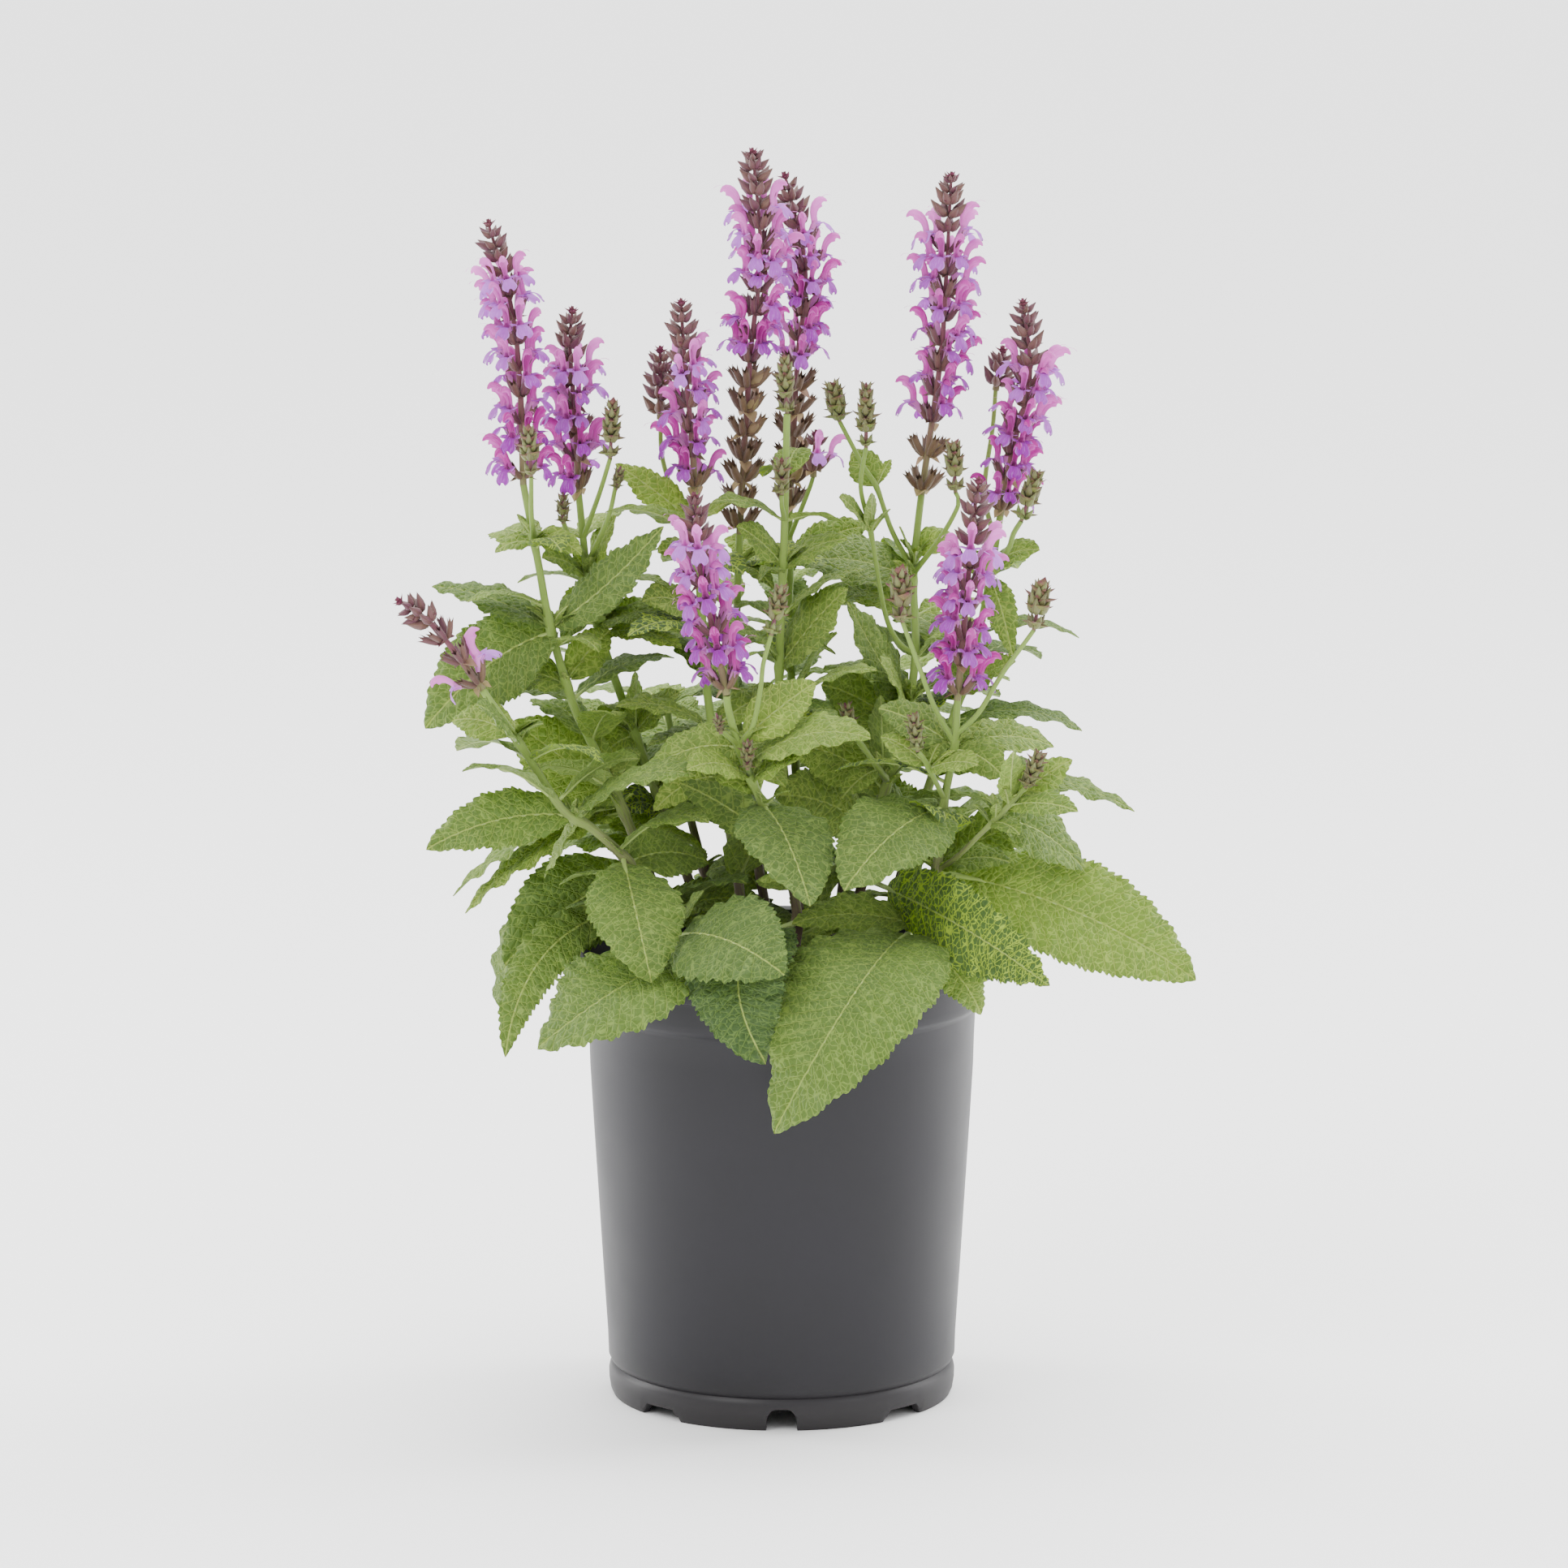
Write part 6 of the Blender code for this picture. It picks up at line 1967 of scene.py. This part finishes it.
# The pot's turned outline as (radius, height), from the foot up the outside, over the rim and
# down the inside.
POT_OUTLINE = (
    (FOOT_RADIUS, 0.0),
    (FOOT_RADIUS + 0.9, 2.0),
    (FOOT_RADIUS + 1.5, 6.0),
    (FOOT_RADIUS + 1.2, 10.2),
    (FOOT_RADIUS + 0.5, SEAM_HEIGHT - 0.7),
    (FOOT_RADIUS - 0.1, SEAM_HEIGHT),
    (FOOT_RADIUS + 0.6, SEAM_HEIGHT + 0.8),
    (BASE_RADIUS - 0.2, SEAM_HEIGHT + 3.0),
    (BASE_RADIUS + 0.1, 24.0),
    (BASE_RADIUS + 1.9, 52.0),
    (BASE_RADIUS + 3.6, 80.0),
    (BASE_RADIUS + 5.2, 106.0),
    (SHOULDER_RADIUS, SHOULDER_HEIGHT),
    (SHOULDER_RADIUS + 0.3, 140.0),
    (LEDGE_RADIUS, LEDGE_HEIGHT - 3.2),
    (LEDGE_RADIUS + 0.5, LEDGE_HEIGHT - 1.9),
    (NECK_RADIUS - 0.9, LEDGE_HEIGHT - 0.7),
    (NECK_RADIUS - 0.2, LEDGE_HEIGHT + 0.6),
    (NECK_RADIUS, LEDGE_HEIGHT + 3.0),
    (NECK_RADIUS + 0.2, 164.0),
    (NECK_RADIUS + 0.5, POT_HEIGHT - 3.4),
    (NECK_RADIUS + 1.4, POT_HEIGHT - 2.2),
    (RIM_RADIUS - 2.2, POT_HEIGHT - 1.8),
    (RIM_RADIUS - 1.5, POT_HEIGHT - 2.4),
    (RIM_RADIUS - 1.3, POT_HEIGHT - RIM_BAND + 0.4),
    (RIM_RADIUS - 0.9, POT_HEIGHT - RIM_BAND),
    (RIM_RADIUS - 0.3, POT_HEIGHT - RIM_BAND + 0.2),
    (RIM_RADIUS, POT_HEIGHT - RIM_BAND + 0.8),
    (RIM_RADIUS, POT_HEIGHT - 1.3),
    (RIM_RADIUS - 0.35, POT_HEIGHT - 0.5),
    (RIM_RADIUS - 1.2, POT_HEIGHT - 0.1),
    (RIM_RADIUS - 2.2, POT_HEIGHT),
    (NECK_RADIUS + 1.2, POT_HEIGHT),
    (NECK_RADIUS - 0.4, POT_HEIGHT - 0.3),
    (NECK_RADIUS - WALL + 0.1, POT_HEIGHT - 1.4),
    (NECK_RADIUS - WALL, 166.0),
    (NECK_RADIUS - WALL - 0.3, 157.0),
    (NECK_RADIUS - WALL - 2.8, 153.0),
)
POT_TURNS = 240


def foot_floor(angle):
    """How far the foot ring is cut away from below at an angle: arched notches and low gaps."""
    near = abs((angle + math.pi / 4) % (math.pi / 2) - math.pi / 4)
    notch = NOTCH_WIDTH / 2 / FOOT_RADIUS
    if near < notch:
        return NOTCH_HEIGHT * (1 - (near / notch) ** 4) ** 0.5
    far = abs(near - math.pi / 4)
    if far < GAP_HALF_ANGLE + GAP_SLANT:
        share = min(1.0, (GAP_HALF_ANGLE + GAP_SLANT - far) / GAP_SLANT)
        return GAP_HEIGHT * share * share * (3 - 2 * share)
    return 0.0


def ring_points(angles, rows):
    """Points of turned rows: each is (radius, height), with one height or one for each angle."""
    points = []
    for radius, height in rows:
        place = np.zeros((len(angles), 3))
        place[:, 0] = radius * np.cos(angles)
        place[:, 1] = radius * np.sin(angles)
        place[:, 2] = height
        points.append(place)
    return np.array(points)


def turned_angles():
    """Angles round the pot, closer together where the foot's cut edges stand upright."""
    notch = NOTCH_WIDTH / 2 / FOOT_RADIUS
    angles = list(np.arange(POT_TURNS) * math.tau / POT_TURNS)
    for quarter in range(4):
        middle = quarter * math.pi / 2
        for share in (1.0, 0.995, 0.97, 0.93, 0.86, 0.76, 0.62, 0.4, 0.15):
            angles += [(middle + notch * share) % math.tau, (middle - notch * share) % math.tau]
    return np.unique(np.round(angles, 6))


def make_pot(material):
    """The pot's outer skin, rim and foot ring, and its floor underneath."""
    angles = turned_angles()
    cut = np.array([foot_floor(angle) for angle in angles])
    body = Body()
    rows = []
    for radius, height in POT_OUTLINE:
        lifted = height + np.clip(cut - height, 0, None) if height < SEAM_HEIGHT else height
        rows.append((radius, lifted))
    body.add(ring_points(angles, rows), grid_quads(len(rows), len(angles), True))
    inner = [
        (FOOT_RADIUS, cut),
        (FOOT_RADIUS - 0.6, np.maximum(cut - 0.25, 0)),
        (FOOT_RADIUS - 2.2, np.maximum(cut - 0.25, 0)),
        (FOOT_RADIUS - 2.8, np.maximum(cut, 0.4)),
        (FOOT_RADIUS - 3.6, FLOOR_HEIGHT + 0.6),
        (FOOT_RADIUS - 6.0, FLOOR_HEIGHT + 0.1),
        (FOOT_RADIUS - 16, FLOOR_HEIGHT),
    ]
    inner += [(radius, FLOOR_HEIGHT) for radius in (42.0, 30.0, 16.0, 5.0, 0.4)]
    body.add(ring_points(angles, inner)[:, ::-1], grid_quads(len(inner), len(angles), True))
    pot = body.make("pot_shell", [material])
    pot.data.set_sharp_from_angle(angle=math.radians(38))
    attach(pot, "root")
    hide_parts("nursery_pot")


def soil_height(x, y):
    """The soil's lumpy top."""
    coarse = noise.noise(Vector((x / 26, y / 26, 1.5))) * 2.2
    lumps = noise.noise(Vector((x / 7, y / 7, 4.5))) * 1.7
    crumbs = noise.noise(Vector((x / 2.4, y / 2.4, 9.5))) * 0.8
    return SOIL_TOP + coarse + lumps + crumbs - 0.4


def make_soil(material):
    """The soil's surface inside the rim, with a skirt down the wall."""
    body = Body()
    rows, columns = 46, 150
    outer = NECK_RADIUS - WALL - 0.6
    points = np.zeros((rows, columns, 3))
    for i in range(rows):
        radius = outer * (i / (rows - 2)) ** 0.8 if i < rows - 1 else outer - 1.5
        for k in range(columns):
            angle = math.tau * k / columns
            x, y = radius * math.cos(angle), radius * math.sin(angle)
            height = soil_height(x, y) if i < rows - 1 else LEDGE_HEIGHT
            points[i, k] = (x, y, height)
    body.add(points, grid_quads(rows, columns, True))
    soil = body.make("soil_surface", [material])
    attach(soil, "root")
    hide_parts("potting_soil")


def make_chips(material):
    """Bits of bark that lie on the soil and sink a little into it."""
    draw = random.Random(SEED + 11)
    body = Body()
    for _ in range(CHIP_COUNT):
        angle = draw.uniform(0, math.tau)
        radius = (NECK_RADIUS - 6) * math.sqrt(draw.random())
        x, y = radius * math.cos(angle), radius * math.sin(angle)
        long = draw.uniform(1.2, 4.6)
        wide = long * draw.uniform(0.35, 0.7)
        high = long * draw.uniform(0.2, 0.4)
        pole = (draw.uniform(-0.4, 0.4), draw.uniform(-0.4, 0.4), 1)
        turn = Quaternion(pole, draw.uniform(0, math.tau))
        centre = Vector((x, y, soil_height(x, y) + high * 0.35))
        points = []
        for end, girth in CHIP_RINGS:
            for k in range(CHIP_SIDES):
                spin = math.tau * k / CHIP_SIDES
                rough = draw.uniform(0.75, 1.2)
                across = math.cos(spin) * wide * girth * rough
                upward = math.sin(spin) * high * girth * rough
                points.append(centre + turn @ Vector((end * long, across, upward)))
        body.add(points, grid_quads(len(CHIP_RINGS), CHIP_SIDES, True))
    chips = body.make("bark_chips", [material])
    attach(chips, "root")


def make_stage():
    """A pale floor under a white sky, a soft sun, and four soft lights round the plant."""
    world = bpy.data.worlds.new("studio")
    world.use_nodes = True
    world.node_tree.nodes["Background"].inputs[0].default_value = (1, 1, 1, 1)
    world.node_tree.nodes["Background"].inputs[1].default_value = SKY_POWER
    bpy.context.scene.world = world
    mesh = bpy.data.meshes.new("floor")
    ring = []
    for k in range(FLOOR_SIDES):
        angle = math.tau * k / FLOOR_SIDES
        ring.append((FLOOR_REACH * math.cos(angle), FLOOR_REACH * math.sin(angle), 0))
    mesh.from_pydata(ring, [], [tuple(range(FLOOR_SIDES))])
    floor = bpy.data.objects.new("floor", mesh)
    bpy.context.scene.collection.objects.link(floor)
    m = Shader("pale_floor")
    m.set(Base_Color=(0.9, 0.9, 0.9, 1), Roughness=0.9, Specular_IOR_Level=0.1)
    mesh.materials.append(m.material)
    light = bpy.data.lights.new("high_back", "SUN")
    light.energy = SUN_POWER
    light.angle = math.radians(SUN_SPREAD)
    lamp = bpy.data.objects.new("high_back", light)
    lamp.rotation_euler = (math.radians(SUN_LEAN[0]), math.radians(SUN_LEAN[1]), 0)
    bpy.context.scene.collection.objects.link(lamp)
    for name, place, size, power in LIGHTS:
        light = bpy.data.lights.new(name, "AREA")
        light.shape = "RECTANGLE"
        light.size, light.size_y = size
        light.energy = power
        lamp = bpy.data.objects.new(name, light)
        lamp.location = place
        way = Vector(LIT_PLACE) - Vector(place)
        lamp.rotation_euler = way.to_track_quat("-Z", "Y").to_euler()
        bpy.context.scene.collection.objects.link(lamp)


def make_camera():
    """The camera, where the photo was taken from."""
    lens = bpy.data.cameras.new("view")
    lens.sensor_width = 36.0
    lens.lens = LENS
    lens.clip_end = 100
    camera = bpy.data.objects.new("view", lens)
    camera.location = (VIEW_AIM + Vector(POT_PLACE) + VIEW_FAR * TO_VIEWER) * MM
    camera.rotation_euler = (math.pi / 2 - VIEW_TILT, 0, 0)
    bpy.context.scene.collection.objects.link(camera)
    bpy.context.scene.camera = camera


# Where the CAD pot stands
pot_low, pot_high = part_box("nursery_pot")
POT_PLACE = ((pot_low.x + pot_high.x) / 2 / MM, (pot_low.y + pot_high.y) / 2 / MM, 0.0)

# The plant
TUBES, LEAVES, SOLIDS, PLACED = grow()
ROOTS = {name: [leaf.root for leaf in LEAVES if leaf.node == name] for name in SHOOTS}
QUICK_WAYS = [way for way in bends() if way[0] < INNER_EFFORT]
INNER_LEAVES = inner_leaves(SOLIDS, PLACED)
# Painted light and shade for the listed leaves, each by its seed
PAINTED_LIGHT_BY_SEED = painted_light_by_leaf(LEAVES)

# The materials, with their colours from the photo
# The leaves' dark and light cell colours also paint light and shade; the third vein colour paints
# backlight
LEAF_MATERIALS = [
    leaf_material(
        "leaf_face",
        (srgb(58, 82, 44), srgb(132, 160, 62), srgb(88, 112, 64)),
        (srgb(110, 136, 68), srgb(180, 200, 94), srgb(182, 208, 66)),
        srgb(176, 194, 96),
        1.0,
    ),
    leaf_material(
        "leaf_back",
        (srgb(110, 134, 78), srgb(132, 160, 70), srgb(122, 140, 92)),
        (srgb(156, 176, 104), srgb(176, 198, 96), srgb(176, 208, 30)),
        srgb(184, 198, 120),
        -0.8,
    ),
    rib_material(),
]
STEM_MATERIAL = stem_material(
    "stem_skin", srgb(98, 76, 70), srgb(118, 146, 56), srgb(104, 98, 56)
)
SPIKE_MATERIALS = [
    calyx_material(
        "calyx_skin", srgb(84, 60, 44), srgb(88, 42, 60), srgb(120, 98, 62), srgb(90, 36, 62)
    ),
    bract_material(
        "bract_skin", srgb(98, 102, 54), srgb(112, 48, 76), srgb(132, 102, 80), srgb(116, 36, 78)
    ),
    stem_material("spike_stem", srgb(116, 116, 66), srgb(112, 58, 72), srgb(104, 80, 58)),
    petal_material(
        "papery_bract",
        srgb(168, 150, 104),
        srgb(186, 140, 142),
        srgb(196, 176, 140),
        srgb(158, 108, 108),
        glow=0.5,
    ),
]
YOUNG_MATERIALS = [
    calyx_material(
        "young_calyx", srgb(110, 130, 60), srgb(96, 92, 56), srgb(140, 156, 84), srgb(104, 58, 64)
    ),
    bract_material(
        "young_scale", srgb(104, 130, 48), srgb(116, 76, 70), srgb(144, 158, 80), srgb(106, 44, 66)
    ),
    SPIKE_MATERIALS[AXIS],
]
PETAL_MATERIALS = [
    petal_material(
        "petal_hood",
        srgb(180, 18, 148),
        srgb(230, 134, 216),
        srgb(238, 176, 232),
        srgb(226, 116, 210),
    ),
    petal_material(
        "petal_lip",
        srgb(148, 20, 164),
        srgb(196, 120, 224),
        srgb(214, 154, 236),
        srgb(220, 174, 242),
    ),
]

make_pot(pot_material())
make_soil(earth_material("damp_peat", srgb(30, 22, 16), srgb(74, 56, 40), 220.0))
make_chips(earth_material("bark", srgb(58, 42, 30), srgb(120, 94, 68), 420.0))
for name, shoot in SHOOTS.items():
    make_shoot_pieces(name, shoot)
for number, (name, spike) in enumerate(SPIKES.items()):
    make_flower_spike(name, spike, number)
for number, (name, (base, top, radius)) in enumerate(BUD_SPIKES.items()):
    make_bud_piece(name, base, top, radius, number)
make_stage()
make_camera()
